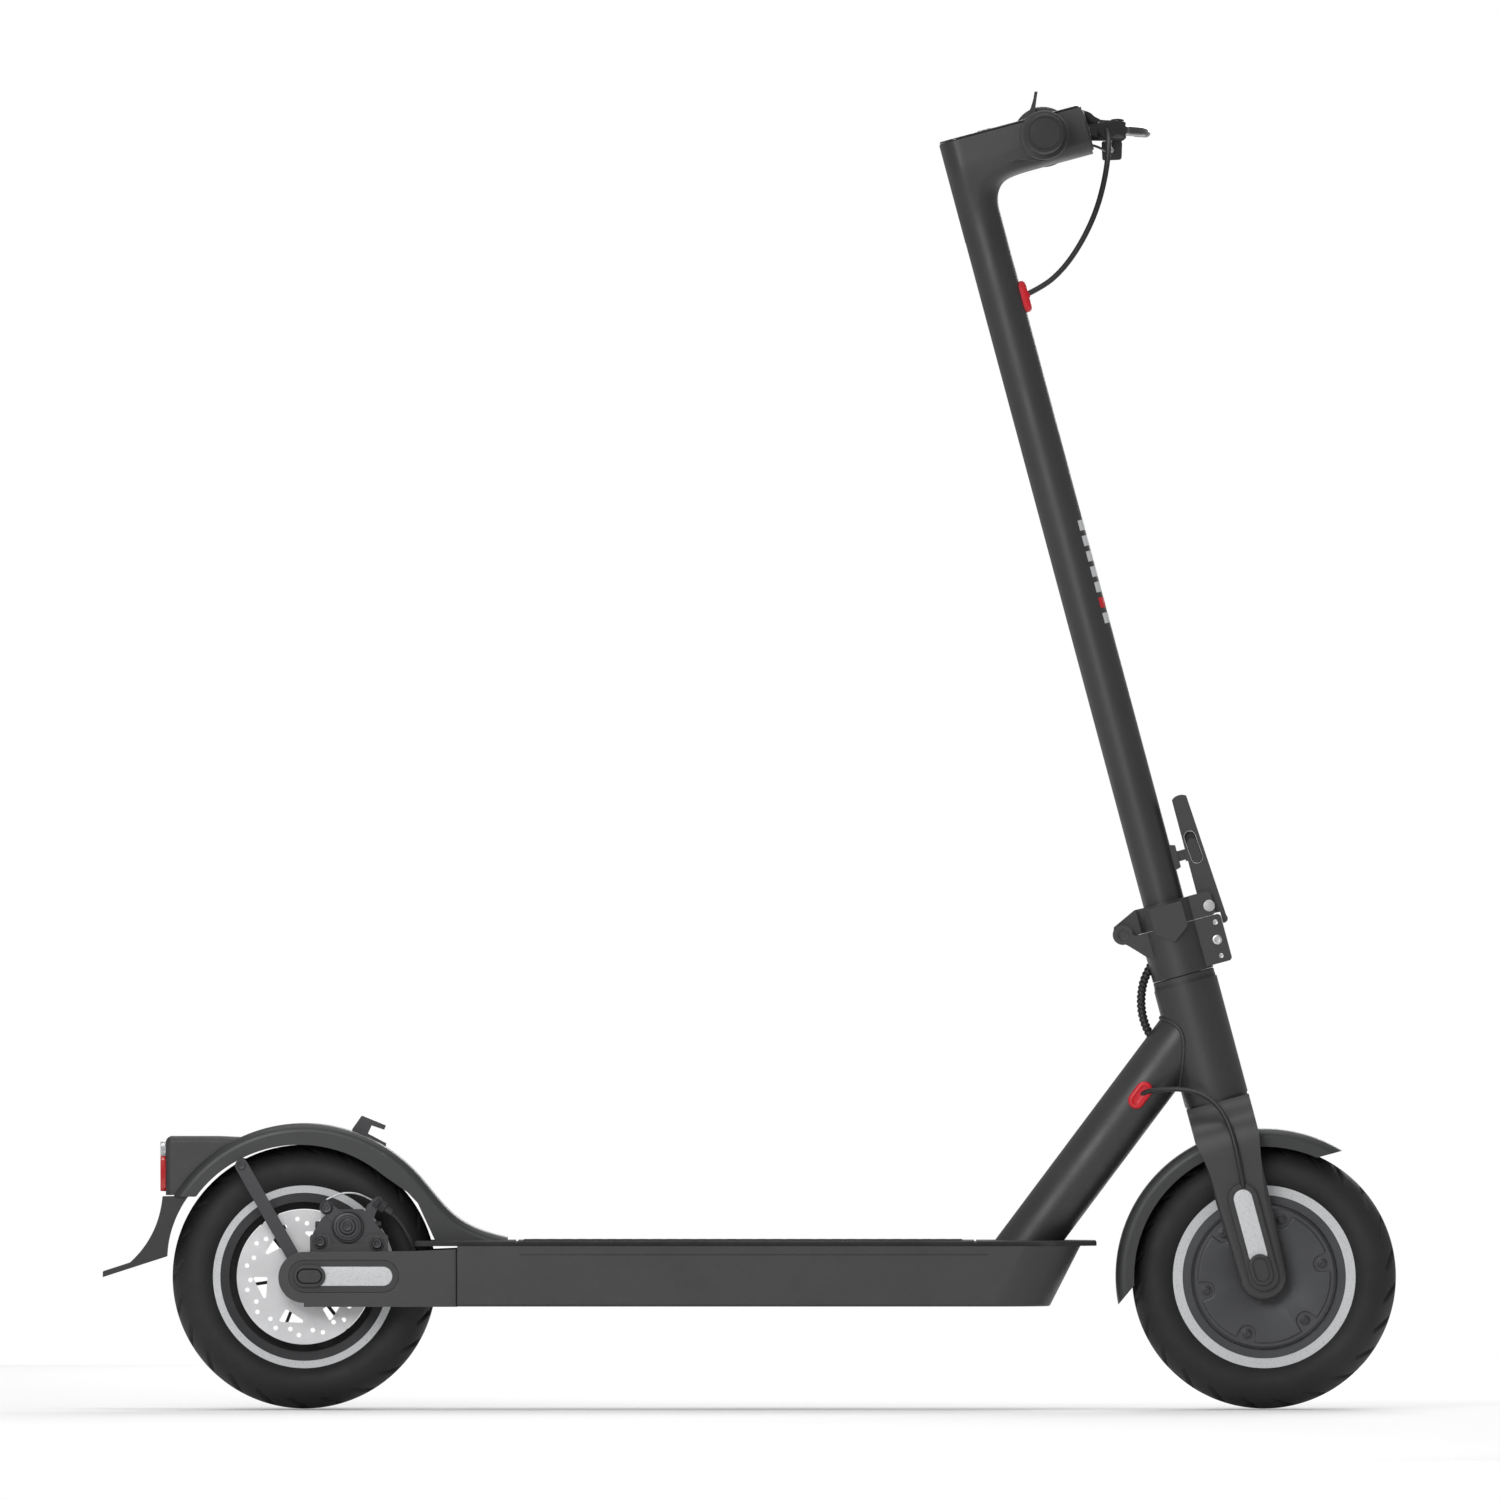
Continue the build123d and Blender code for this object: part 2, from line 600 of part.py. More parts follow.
with BuildPart() as rear_fender:
    with BuildSketch(side()):
        with BuildLine():
            fender_outline(0.0, 0.0)
        make_face()
    extrude(amount=fender_half, both=True)
    fillet(edges().filter_by(lambda e: abs(abs(e.center().Y) - fender_half) < 0.01
                             and e.length > 150 and e.center().Z > axle_z + fender_lip_r + 6), 7.0)
    with BuildSketch(side()):
        with BuildLine():
            fender_outline(fender_t, 6.0)
        make_face()
    extrude(amount=fender_half - fender_t, both=True, mode=Mode.SUBTRACT)
rear_fender.part.label = "rear_fender"
export_step(rear_fender.part, "parts/rear_fender.step")

# hook plate and the two stays that hold the fender to the arms
hook_half = 9.0
stay_w = 10.9
stay_t = 4.0
stay_y = arm_in_y - stay_t      # inner face of a stay, against the arm's inner face
with BuildPart() as fender_brackets:
    with BuildSketch(side()):
        with BuildLine():
            plate = ThreePointArc(around(rear_axle, fender_r, 72), around(rear_axle, fender_r, 65),
                                  around(rear_axle, fender_r, 58))
            Polyline(plate @ 1, around(rear_axle, fender_r + 2.6, 58.5), (-318.1, 229.2),
                     (-315.1, 236.0), (-304.6, 232.4), (-303.2, 236.0), (-323.3, 244.3),
                     around(rear_axle, fender_r + 2.0, 72), plate @ 0)
        make_face()
    extrude(amount=hook_half, both=True)
    fillet(edges().filter_by(Axis.Y).group_by(Axis.Z)[-1], 1.2)
    for sign in (-1, 1):
        foot = Vector(-378.1, 0, 124.0)
        top = Vector(-423.0, 0, 203.0)
        lean = math.degrees(math.atan2(top.Z - foot.Z, top.X - foot.X))
        with BuildSketch(side(sign * stay_y, (foot.X + top.X) / 2, (foot.Z + top.Z) / 2)):
            SlotCenterToCenter((top - foot).length, stay_w, rotation=lean)
        extrude(amount=-sign * stay_t)
        with BuildSketch(side(sign * stay_y, top.X, top.Z)):
            Circle(stay_w / 2 - 0.6)
        extrude(amount=sign * (stay_y - fender_half))
fender_brackets.part.label = "fender_brackets"
export_step(fender_brackets.part, "parts/fender_brackets.step")

lamp_rear_x = -486.4
lamp_low_z = 178.1
lamp_top_z = 227.1
lamp_half = 24.0
lens_rear_x = -490.9
lens_z = (181.3, 222.3)
lens_split_z = 211.0
lens_half = 20.0
with BuildPart() as tail_lamp_housing:
    with BuildSketch(side()):
        with BuildLine():
            join = around(rear_axle, fender_r, rear_end_deg(fender_r, lamp_low_z))
            join_top = around(rear_axle, fender_r, 114.5)
            Polyline(join, (lamp_rear_x, lamp_low_z), (lamp_rear_x, lamp_top_z), (-442.0, lamp_top_z), join_top)
            ThreePointArc(join_top, around(rear_axle, fender_r, 132), join)
        make_face()
    extrude(amount=lamp_half, both=True)
    fillet(edges().filter_by(lambda e: abs(abs(e.center().Y) - lamp_half) < 0.01
                             and abs(e.center().Z - lamp_top_z) < 1), 5.0)
    fillet(edges().filter_by(Axis.Z).group_by(Axis.X)[0], 5.0)
tail_lamp_housing.part.label = "tail_lamp_housing"
export_step(tail_lamp_housing.part, "parts/tail_lamp_housing.step")


def lens(z_low, z_high, corner):
    """One panel of the tail lens, standing off the housing's rear face."""
    with BuildSketch(Plane(origin=(lamp_rear_x, 0, (z_low + z_high) / 2), x_dir=(0, 1, 0),
                           z_dir=(-1, 0, 0))) as panel:
        RectangleRounded(2 * lens_half, z_high - z_low, corner)
    extrude(panel.sketch, amount=lamp_rear_x - lens_rear_x)


with BuildPart() as tail_lens:              # red panel below, clear panel above
    lens(lens_z[0], lens_split_z - 0.3, 3.0)
    lens(lens_split_z, lens_z[1], 3.0)
    fillet(faces().group_by(Axis.X)[0].edges(), 1.2)
tail_lens.part.label = "tail_lens"
export_step(tail_lens.part, "parts/tail_lens.step")

with BuildPart() as splash_flap:
    with BuildSketch(side()):
        with BuildLine():
            inner = ThreePointArc((-467.9, fender_end_z), around(rear_axle, 117.6, 160), (-485.5, 127.0))
            Polyline(inner @ 1, (-538.8, 109.8), (-538.8, 114.4), (-516.7, 121.6))
            Spline((-516.7, 121.6), (-500.5, 141.0), (-489.1, fender_end_z))
            Line((-489.1, fender_end_z), (-467.9, fender_end_z))
        make_face()
    extrude(amount=29.0, both=True)
    with BuildSketch(side()):
        with BuildLine():
            inner = ThreePointArc(around(rear_axle, 117.6, 151), around(rear_axle, 117.6, 160), (-485.5, 127.0))
            Polyline(inner @ 1, (-500.0, 121.0), (-509.0, 124.0))
            Spline((-509.0, 124.0), (-498.0, 142.0), (-487.5, 170.0))
            Line((-487.5, 170.0), inner @ 0)
        make_face()
    extrude(amount=26.0, both=True, mode=Mode.SUBTRACT)
splash_flap.part.label = "splash_flap"
export_step(splash_flap.part, "parts/splash_flap.step")

# ---- disc brake caliper on the right side
cam_x = -334.8
cam_z = 152.2
cam_r = 11.7
caliper_in_y = -27.0
caliper_out_y = -51.0
pad_gap = 0.6
pad_t = 3.4
rotor_out_y = rotor_y - rotor_t
pad_centre = (-338.0, 148.0)
caliper_bolt_l = 14.0

with BuildPart() as caliper_body:
    with BuildSketch(side(caliper_in_y)):
        with BuildLine():
            FilletPolyline((-362.0, 136.5), (-303.5, 133.0), (-303.5, 145.0), (-313.4, 157.5),
                           (-322.0, 166.5), (-347.0, 166.5), (-356.5, 159.0), (-364.0, 146.0),
                           close=True, radius=2.5)
        make_face()
        with Locations(*caliper_bolts_xz):
            Circle(2.5, mode=Mode.SUBTRACT)
    extrude(amount=caliper_in_y - caliper_out_y)
    with BuildSketch(side(rotor_y + 1.5, rear_axle_x, axle_z)):     # slot for the disc
        Circle(rotor_r + 2.0)
    extrude(amount=rotor_t + 3.0, mode=Mode.SUBTRACT)
    with BuildSketch(side(rotor_y + pad_t + 3.0, *pad_centre)):     # pocket for the pads
        Circle(8.6)
    extrude(amount=2 * pad_t + rotor_t + 7.0, mode=Mode.SUBTRACT)
    with BuildSketch(side(caliper_out_y)):                      # cable stop
        with Locations((-312.5, 170.2)):
            SlotCenterToCenter(9.0, 7.5, rotation=45)
        with BuildLine():
            Polyline((-322.0, 160.0), (-314.0, 156.0), (-308.5, 171.0), (-318.0, 171.0), close=True)
        make_face()
    extrude(amount=-5.0)
caliper_body.part.label = "caliper_body"
export_step(caliper_body.part, "parts/caliper_body.step")

with BuildPart() as caliper_hardware:
    with BuildSketch(side(tab_y)):
        with Locations(*caliper_bolts_xz):
            Circle(2.5)
    extrude(amount=-caliper_bolt_l)
    with BuildSketch(side(tab_y)):
        with Locations(*caliper_bolts_xz):
            Circle(4.2)
    extrude(amount=2.6)
    with BuildSketch(side(tab_y - 2.6)):
        with Locations(*caliper_bolts_xz):
            RegularPolygon(2.2, 6)
    extrude(amount=-1.8, mode=Mode.SUBTRACT)
    with BuildSketch(side(rotor_y + pad_gap + pad_t, *pad_centre)):      # fixed pad
        Circle(8.4)
    extrude(amount=pad_t)
caliper_hardware.part.label = "caliper_hardware"
export_step(caliper_hardware.part, "parts/caliper_hardware.step")

with BuildPart() as moving_pad:
    with BuildSketch(side(rotor_out_y - pad_gap, *pad_centre)):
        Circle(8.6 - part_gap)
    extrude(amount=pad_t)
moving_pad.part.label = "moving_pad"
export_step(moving_pad.part, "parts/moving_pad.step")

arm_clamp = (-352.3, 167.8)
arm_y = caliper_out_y - part_gap
with BuildPart() as caliper_arm:
    with BuildSketch(side(arm_y, cam_x, cam_z)):
        Circle(cam_r)
    extrude(amount=4.0)
    with BuildSketch(side(arm_y)):
        with BuildLine():
            sweep_line = Vector(arm_clamp[0] - cam_x, arm_clamp[1] - cam_z)
            across = sweep_line.rotate(Axis.Z, 90).normalized()
            Polyline((cam_x + 7 * across.X, cam_z + 7 * across.Y),
                     (arm_clamp[0] + 5 * across.X, arm_clamp[1] + 5 * across.Y),
                     (arm_clamp[0] - 5 * across.X, arm_clamp[1] - 5 * across.Y),
                     (cam_x - 7 * across.X, cam_z - 7 * across.Y), close=True)
        make_face()
        with Locations(arm_clamp):
            Circle(5.8)
    extrude(amount=3.0)
    with BuildSketch(side(arm_y - 4.0, cam_x, cam_z)):
        RegularPolygon(6.0, 6)
    extrude(amount=2.6)
    with BuildSketch(side(arm_y - 3.0, *arm_clamp)):
        RegularPolygon(4.4, 6)
    extrude(amount=3.6)
caliper_arm.part.label = "caliper_arm"
export_step(caliper_arm.part, "parts/caliper_arm.step")

# ================================================================ cables held by the scooter
housing_d = 4.6
wire_d = 1.6
motor_cable_d = 4.2
spiral_d = 7.5

rear_housing_route = [(-306.2, -48.0, 169.0), (-297.0, -47.0, 162.6), (-289.5, -45.0, 153.6),
                      (-283.4, -43.4, 142.8), (-278.6, -42.2, 131.4), (-270.4, -41.2, 121.0),
                      (-259.6, -40.6, 113.2), (-248.0, -40.3, 109.0), (-237.0, -40.2, 107.4)]
rear_wire_route = [(-352.3, -55.6, 174.6), (-343.5, -54.4, 179.2), (-332.2, -52.6, 180.6),
                   (-321.4, -50.6, 178.2), (-311.4, -48.6, 172.4)]
upper_cable_route = [(298.4, 64.0, 1066.5), (299.1, 47.0, 1062.0), (299.4, 33.0, 1051.0),
                     (297.9, 23.5, 1036.5), (294.9, 17.5, 1020.0), (289.9, 13.0, 1001.5),
                     (282.1, 9.0, 982.6), (271.8, 6.0, 964.2), (260.0, 3.2, 948.4),
                     (245.6, 1.2, 935.6), (229.0, 0.0, 927.6)]
motor_route = [(320.0, -19.5, 258.5), (329.5, -25.4, 264.6), (343.0, -31.0, 266.2),
               (357.5, -34.6, 266.6), (371.0, -37.6, 264.8), (382.6, -41.4, 259.4),
               (391.6, -45.8, 250.4), (398.4, -50.4, 238.6), (403.4, -54.2, 223.3),
               (406.6, -56.0, 208.0), (408.8, -55.4, 196.0), (411.0, -54.8, 184.6)]
spiral_route = [(337.4, 0.0, 374.0), (329.6, 0.0, 361.6), (326.0, 0.0, 346.0),
                (326.4, 0.0, 330.0), (331.0, 0.0, 315.0), (338.0, 0.0, 304.0)]


def tube(name, points, diameter):
    """Round tube along straight runs joined by arcs, in the current part."""
    radii = cord_radii(name, points, diameter)
    with BuildLine():
        path = FilletPolyline(*points, radius=radii)
    with BuildSketch(Plane(origin=path @ 0, z_dir=path % 0)) as section:
        Circle(diameter / 2)
    sweep(section.sketch, path=path)
    print("  length", round(path.length, 1))
    return path.length * math.pi * (diameter / 2) ** 2


with BuildPart() as rear_brake_cable:
    wanted = tube("rear brake housing", rear_housing_route, housing_d)
    with BuildSketch(Plane(origin=rear_housing_route[0],
                           z_dir=Vector(*rear_housing_route[0]) - Vector(*rear_housing_route[1]))):
        Circle(3.4)
    extrude(amount=6.0, both=True)
    wanted = wanted + tube("rear brake wire", rear_wire_route, wire_d)
rear_brake_cable.part.label = "rear_brake_cable"
export_step(rear_brake_cable.part, "parts/rear_brake_cable.step")

with BuildPart() as upper_brake_cable:
    wanted = tube("upper brake cable", upper_cable_route, housing_d)
print("  volume", round(upper_brake_cable.part.volume, 1), "section x length", round(wanted, 1))
upper_brake_cable.part.label = "upper_brake_cable"
export_step(upper_brake_cable.part, "parts/upper_brake_cable.step")

with BuildPart() as head_cables:
    wanted = tube("motor cable", motor_route, motor_cable_d)
    wanted = wanted + tube("spiral-wrapped loom", spiral_route, spiral_d)
print("  volume", round(head_cables.part.volume, 1), "section x length", round(wanted, 1))
head_cables.part.label = "head_cables"
export_step(head_cables.part, "parts/head_cables.step")


gland_gap = 0.6


def gland(route, diameter, deep):
    """Cuts the hole that the first or last run of a route enters, out of the current part."""
    mouth = Vector(*route[1])
    end = Vector(*route[0])
    with BuildSketch(Plane(origin=mouth, z_dir=end - mouth)) as hole:
        Circle(diameter / 2 + gland_gap)
    extrude(hole.sketch, amount=(end - mouth).length + deep, mode=Mode.SUBTRACT)


# grommet where the motor cable leaves the down tube
grommet_l = 25.0
grommet_w = 14.0
grommet_t = 3.2
grommet_at = (325.3, 261.3)
with BuildPart() as cable_grommet:
    with BuildSketch(side(-down_r + 2.0, *grommet_at)):
        SlotOverall(grommet_l, grommet_w, rotation=down_lean)
    extrude(amount=grommet_t + 0.6)
    with BuildSketch(down_tube_plane(grommet_at[0] - 30)):
        Circle(down_r)
    extrude(amount=90, mode=Mode.SUBTRACT)
cable_grommet.part.label = "cable_grommet"
export_step(cable_grommet.part, "parts/cable_grommet.step")

# ---- charge socket and its hinged cap, on the left side of the deck
cap_r = 12.0
cap_t = 3.0
cap_hinge_z = charge_z + cap_r + 2.5
cap_pin_r = 1.2
cap_y = deck_half + part_gap
with BuildPart() as charge_port:
    with BuildSketch(side(deck_half, charge_x, charge_z)):
        Circle(socket_r)
    extrude(amount=14.0)
    with BuildSketch(side(deck_half, charge_x, charge_z)):
        Circle(socket_r - 2.5)
    extrude(amount=11.0, mode=Mode.SUBTRACT)
    with BuildSketch(Plane(origin=(charge_x, cap_y + 1.9, cap_hinge_z), z_dir=(1, 0, 0))):
        Circle(cap_pin_r)
    extrude(amount=6.0, both=True)
    for sign in (-1, 1):                    # ears that carry the cap's hinge pin
        with BuildSketch(Plane(origin=(charge_x + sign * 4.9, deck_half, cap_hinge_z), x_dir=(1, 0, 0),
                               z_dir=(0, 1, 0))):
            Rectangle(2.6, 4.2)
        extrude(amount=4.2)
charge_port.part.label = "charge_port"
export_step(charge_port.part, "parts/charge_port.step")

with BuildPart() as charge_cap:
    with BuildSketch(side(cap_y, charge_x, charge_z)):
        Circle(cap_r)
        with Locations((0, cap_r - 1)):
            Rectangle(6.0, 7.0)
    extrude(amount=-cap_t)
    fillet(faces().sort_by(Axis.Y)[-1].edges(), 0.8)
    with BuildSketch(Plane(origin=(charge_x, cap_y + 1.9, cap_hinge_z), z_dir=(1, 0, 0))):
        Circle(1.9)
        Circle(cap_pin_r + run_gap, mode=Mode.SUBTRACT)
    extrude(amount=3.0, both=True)
    with BuildSketch(Plane(origin=(charge_x, cap_y + 1.9, cap_hinge_z), z_dir=(1, 0, 0))):
        Circle(cap_pin_r + run_gap)
    extrude(amount=3.0, both=True, mode=Mode.SUBTRACT)
charge_cap.part.label = "charge_cap"
export_step(charge_cap.part, "parts/charge_cap.step")

# ---- kickstand, folded along the deck's left side
stand_pivot = Vector(62.0, deck_half + 3.0, 97.5)
stand_axis = Vector(-0.2425, 0.9701, 0.0).normalized()      # outward
stand_pin_r = 4.0
stand_eye_r = 9.0
stand_leg_r = 5.0
stand_length = 94.0
bracket_t = 7.0
with BuildPart() as kickstand_bracket:
    with BuildSketch(Plane(origin=(stand_pivot.X, deck_half, stand_pivot.Z), x_dir=(1, 0, 0),
                           z_dir=(0, 1, 0))):
        RectangleRounded(44.0, 21.0, 5.0)
    extrude(amount=4.0)
    with BuildSketch(Plane(origin=stand_pivot, z_dir=stand_axis)):
        Circle(stand_eye_r)
    extrude(amount=bracket_t)
    with BuildSketch(Plane(origin=stand_pivot + stand_axis * bracket_t, z_dir=stand_axis)):
        Circle(stand_pin_r)
    extrude(amount=15.0)
    with BuildSketch(Plane(origin=stand_pivot + stand_axis * (bracket_t + 15.0), z_dir=stand_axis)):
        Circle(6.0)
    extrude(amount=2.5)
    split(bisect_by=Plane(origin=(0, deck_half, 0), z_dir=(0, 1, 0)), keep=Keep.TOP)
kickstand_bracket.part.label = "kickstand_bracket"
export_step(kickstand_bracket.part, "parts/kickstand_bracket.step")

with BuildPart() as kickstand:
    stand_base = stand_pivot + stand_axis * (bracket_t + part_gap)
    with BuildSketch(Plane(origin=stand_base, z_dir=stand_axis)):
        Circle(stand_eye_r)
    extrude(amount=15.0 - 2 * part_gap)
    leg_start = stand_pivot + stand_axis * (bracket_t + 8.0)
    with BuildSketch(Plane(origin=leg_start, z_dir=(-1, 0, 0))):
        Circle(stand_leg_r)
    extrude(amount=stand_length - 12)
    with BuildSketch(Plane(origin=leg_start - Vector(stand_length - 12, 0, 0), z_dir=(-1, 0, 0))):
        Circle(stand_leg_r + 1.5)
    extrude(amount=12)
    fillet(faces().sort_by(Axis.X)[0].edges(), 3.0)
    with BuildSketch(Plane(origin=stand_pivot, z_dir=stand_axis)):
        Circle(stand_pin_r + run_gap)
    extrude(amount=40, mode=Mode.SUBTRACT)
kickstand.part.label = "kickstand"
export_step(kickstand.part, "parts/kickstand.step")

# ================================================================ fork
leg_out_y = 52.0
leg_in_y = 38.0
crown_top_s = head_low_s - 2.3
crown_low_s = 127.0
leg_spread_s = 106.0
fork_nut_t = 4.5
fork_cover_t = 5.0
fork_cover_l = 91.8
fork_cover_w = 25.7
fork_cover_s = 34.5
fork_cap_l = 26.7
fork_cap_w = 18.0
fork_cap_s = 6.7

with BuildPart() as fork:
    with BuildSketch(steer_side()):
        with BuildLine():
            front = Polyline((27.0, crown_top_s), (26.7, 118.0), (22.6, 95.0), (21.1, 60.0), (18.3, 0.0))
            end = ThreePointArc(front @ 1, (-1.0, -18.2), (-20.4, 4.0))
            Polyline(end @ 1, (-22.9, 66.0), (-23.4, 105.0), (-26.2, 120.0), (-26.5, crown_top_s), front @ 0)
        make_face()
    extrude(amount=leg_out_y, both=True)
    with BuildSketch(Plane(origin=steer(0, 0), x_dir=(0, 1, 0), z_dir=fore_dir)):
        with BuildLine():
            low = -30.0
            outer = Polyline((leg_out_y, low), (leg_out_y, leg_spread_s))
            Spline(outer @ 1, (44.0, 134.0), (27.5, crown_top_s), tangents=[Vector(0, 1), Vector(-0.45, 1)])
            Line((27.5, crown_top_s), (0, crown_top_s))
            inner = Polyline((leg_out_y, low), (leg_in_y, low), (leg_in_y, crown_low_s - 14))
            Spline(inner @ 1, (leg_in_y - 9, crown_low_s - 1), (0, crown_low_s),
                   tangents=[Vector(0, 1), Vector(-1, 0)])
            Line((0, crown_low_s), (0, crown_top_s))
        make_face()
        mirror(about=Plane.YZ)
    extrude(amount=60, both=True, mode=Mode.INTERSECT)
    fillet(edges().filter_by(lambda e: abs(abs(e.center().Y) - leg_out_y) < 0.05 and e.length > 30), 4.0)
    with BuildSketch(steer_level(crown_low_s)):
        Circle(steerer_r)
    extrude(amount=296.0 - crown_low_s)
    with BuildSketch(side(0, front_axle_x, axle_z)):
        Circle(axle_r)
    extrude(amount=leg_out_y + 1, both=True, mode=Mode.SUBTRACT)
fork.part.label = "fork"
export_step(fork.part, "parts/fork.step")

with BuildPart() as front_axle_bolt:
    with BuildSketch(side(0, front_axle_x, axle_z)):
        Circle(axle_r)
    extrude(amount=leg_out_y + fork_nut_t, both=True)
    for sign in (-1, 1):
        with BuildSketch(side(sign * leg_out_y, front_axle_x, axle_z)):
            RegularPolygon(9.6, 6)
        extrude(amount=-sign * fork_nut_t)
        with BuildSketch(side(sign * leg_in_y, front_axle_x, axle_z)):
            Circle(axle_r + 3.5)
        extrude(amount=sign * (leg_in_y - motor_core_half - part_gap))
front_axle_bolt.part.label = "front_axle"
export_step(front_axle_bolt.part, "parts/front_axle.step")

with BuildPart() as fork_covers:
    for sign in (-1, 1):
        with BuildSketch(steer_side(sign * leg_out_y)):
            with Locations((-0.5, fork_cover_s)):
                SlotOverall(fork_cover_l, fork_cover_w, rotation=90)
        extrude(amount=-sign * fork_cover_t)
    fillet(edges().filter_by(lambda e: abs(abs(e.center().Y) - leg_out_y - fork_cover_t) < 0.01), 1.5)
    for sign in (-1, 1):
        with BuildSketch(side(sign * leg_out_y, front_axle_x, axle_z)):
            Circle(10.2)
        extrude(amount=-sign * (fork_nut_t + 0.1), mode=Mode.SUBTRACT)
        with BuildSketch(steer_side(sign * (leg_out_y + fork_nut_t + 0.1))):
            with Locations((-1.1, fork_cap_s)):
                SlotOverall(fork_cap_l, fork_cap_w, rotation=90)
        extrude(amount=-sign * 2.2)
    gland(motor_route[::-1], motor_cable_d, 0.4)
fork_covers.part.label = "fork_covers"
export_step(fork_covers.part, "parts/fork_covers.step")

# ---- front fender
front_fender_r = 123.6
front_lip_r = 108.5
front_fender_half = 31.0
front_fender_deg = (58.2, 190.7)


def front_outline(inset, drop):
    """Side outline of the front fender with both ends cut on a slant."""
    outer = front_fender_r - inset
    lip = front_lip_r - drop
    low, high = front_fender_deg
    out_arc = ThreePointArc(around(front_axle, outer, low - drop), around(front_axle, outer, 125),
                            around(front_axle, outer, high + drop))
    in_arc = ThreePointArc(around(front_axle, lip, low + 8 - drop), around(front_axle, lip, 125),
                           around(front_axle, lip, high - 7 + drop))
    Line(out_arc @ 1, in_arc @ 1)
    Line(in_arc @ 0, out_arc @ 0)


with BuildPart() as front_fender:
    with BuildSketch(side()):
        with BuildLine():
            front_outline(0.0, 0.0)
        make_face()
    extrude(amount=front_fender_half, both=True)
    fillet(edges().filter_by(lambda e: abs(abs(e.center().Y) - front_fender_half) < 0.01
                             and e.length > 270), 8.0)
    with BuildSketch(side()):
        with BuildLine():
            front_outline(fender_t, 5.0)
        make_face()
    extrude(amount=front_fender_half - fender_t, both=True, mode=Mode.SUBTRACT)
    with BuildSketch(steer_level(front_fender_r - 1.6)):
        SlotOverall(34.0, 16.0)
    extrude(amount=crown_low_s - front_fender_r + 1.6)
front_fender.part.label = "front_fender"
export_step(front_fender.part, "parts/front_fender.step")

# ---- folding joint: lower half, on the fork
stub_r = 26.0
stub_low_s = head_top_s + spacer_t + part_gap
part_s = 302.0                  # parting plane
block_half = 16.0
slot_half = 9.3
hinge_n = -40.0
hinge_s = 305.4
hinge_pin_r = 4.6
knuckle_r = 8.3
ear_t = 7.7
lever_n = 35.6
lever_s = 310.5
lever_pin_r = 3.0
lever_sweep_r = 21.8
tongue_low_s = 288.6
tongue_half = 14.0
hinge_fit_r = hinge_pin_r + run_gap

with BuildPart() as fold_block:
    with BuildSketch(steer_level(stub_low_s)):
        Circle(stub_r)
    extrude(amount=part_s - stub_low_s)
    with BuildSketch(steer_side()):
        with BuildLine():
            FilletPolyline((16.0, 262.0), (43.0, 262.0), (43.0, part_s), (16.0, part_s), close=True,
                           radius=3.0)
        make_face()
    extrude(amount=block_half, both=True)
    for sign in (-1, 1):
        with BuildSketch(steer_side(sign * (slot_half + ear_t / 2))):
            with BuildLine():
                Polyline((-12.0, 276.0), (-24.8, 281.6), (-37.0, 294.5), (-48.3, hinge_s),
                         (-40.0, hinge_s + 6.0), (-30.0, part_s), (-12.0, part_s), close=True)
            make_face()
            with Locations((hinge_n, hinge_s)):
                Circle(knuckle_r)
        extrude(amount=ear_t / 2, both=True)
        with BuildSketch(steer_side(sign * slot_half)):
            with Locations((hinge_n, hinge_s)):
                Circle(hinge_pin_r)
        extrude(amount=-sign * ear_t, mode=Mode.SUBTRACT)
    with BuildSketch(steer_side()):
        with Locations((lever_n, lever_s)):
            Circle(lever_sweep_r)
        with Locations((hinge_n, hinge_s)):
            Circle(knuckle_r + 1.2)
    extrude(amount=slot_half, both=True, mode=Mode.SUBTRACT)
    with BuildSketch(steer_level(stub_low_s)):
        Circle(steerer_r)
    extrude(amount=296.0 - stub_low_s, mode=Mode.SUBTRACT)
    gland(spiral_route, spiral_d, 0.4)
fold_block.part.label = "fold_block"
export_step(fold_block.part, "parts/fold_block.step")

with BuildPart() as fold_hardware:
    with BuildSketch(steer_side(slot_half + ear_t)):
        with Locations((hinge_n, hinge_s)):
            Circle(hinge_pin_r)
    extrude(amount=2 * (slot_half + ear_t))
    for sign in (-1, 1):
        for n, s, r in ((37.2, 295.8, 2.4), (35.0, 281.4, 4.2), (34.8, 267.6, 2.2)):
            with BuildSketch(steer_side(sign * block_half)):
                with Locations((n, s)):
                    Circle(r)
                    if r > 3:
                        RegularPolygon(0.5 * r, 6, mode=Mode.SUBTRACT)
            extrude(amount=-sign * 0.9)
fold_hardware.part.label = "fold_hardware"
export_step(fold_hardware.part, "parts/fold_hardware.step")

# ================================================================ stem
stem_r = 17.3
stem_wall = 2.3
stem_top_s = 910.0
collar_top_s = 322.6
collar_low_s = part_s + part_gap
collar_half = 28.8

with BuildPart() as stem_tube:
    with BuildSketch(steer_level(collar_low_s)):
        Circle(stem_r)
        Circle(stem_r - stem_wall, mode=Mode.SUBTRACT)
    extrude(amount=stem_top_s - collar_low_s)
    with BuildSketch(steer_side()):         # catch stud for the folding lever
        with BuildLine():
            Polyline((stem_r - 1.2, 346.0), (21.5, 347.5), (21.5, 366.5), (stem_r - 1.2, 368.0), close=True)
        make_face()
    extrude(amount=6.0, both=True)
    with BuildSketch(steer_side()):
        with BuildLine():
            Polyline((21.5, 352.5), (27.0, 352.5), (27.0, 351.0), (30.6, 351.0), (30.6, 361.2),
                     (21.5, 361.2), close=True)
        make_face()
    extrude(amount=4.0, both=True)
stem_tube.part.label = "stem_tube"
export_step(stem_tube.part, "parts/stem_tube.step")

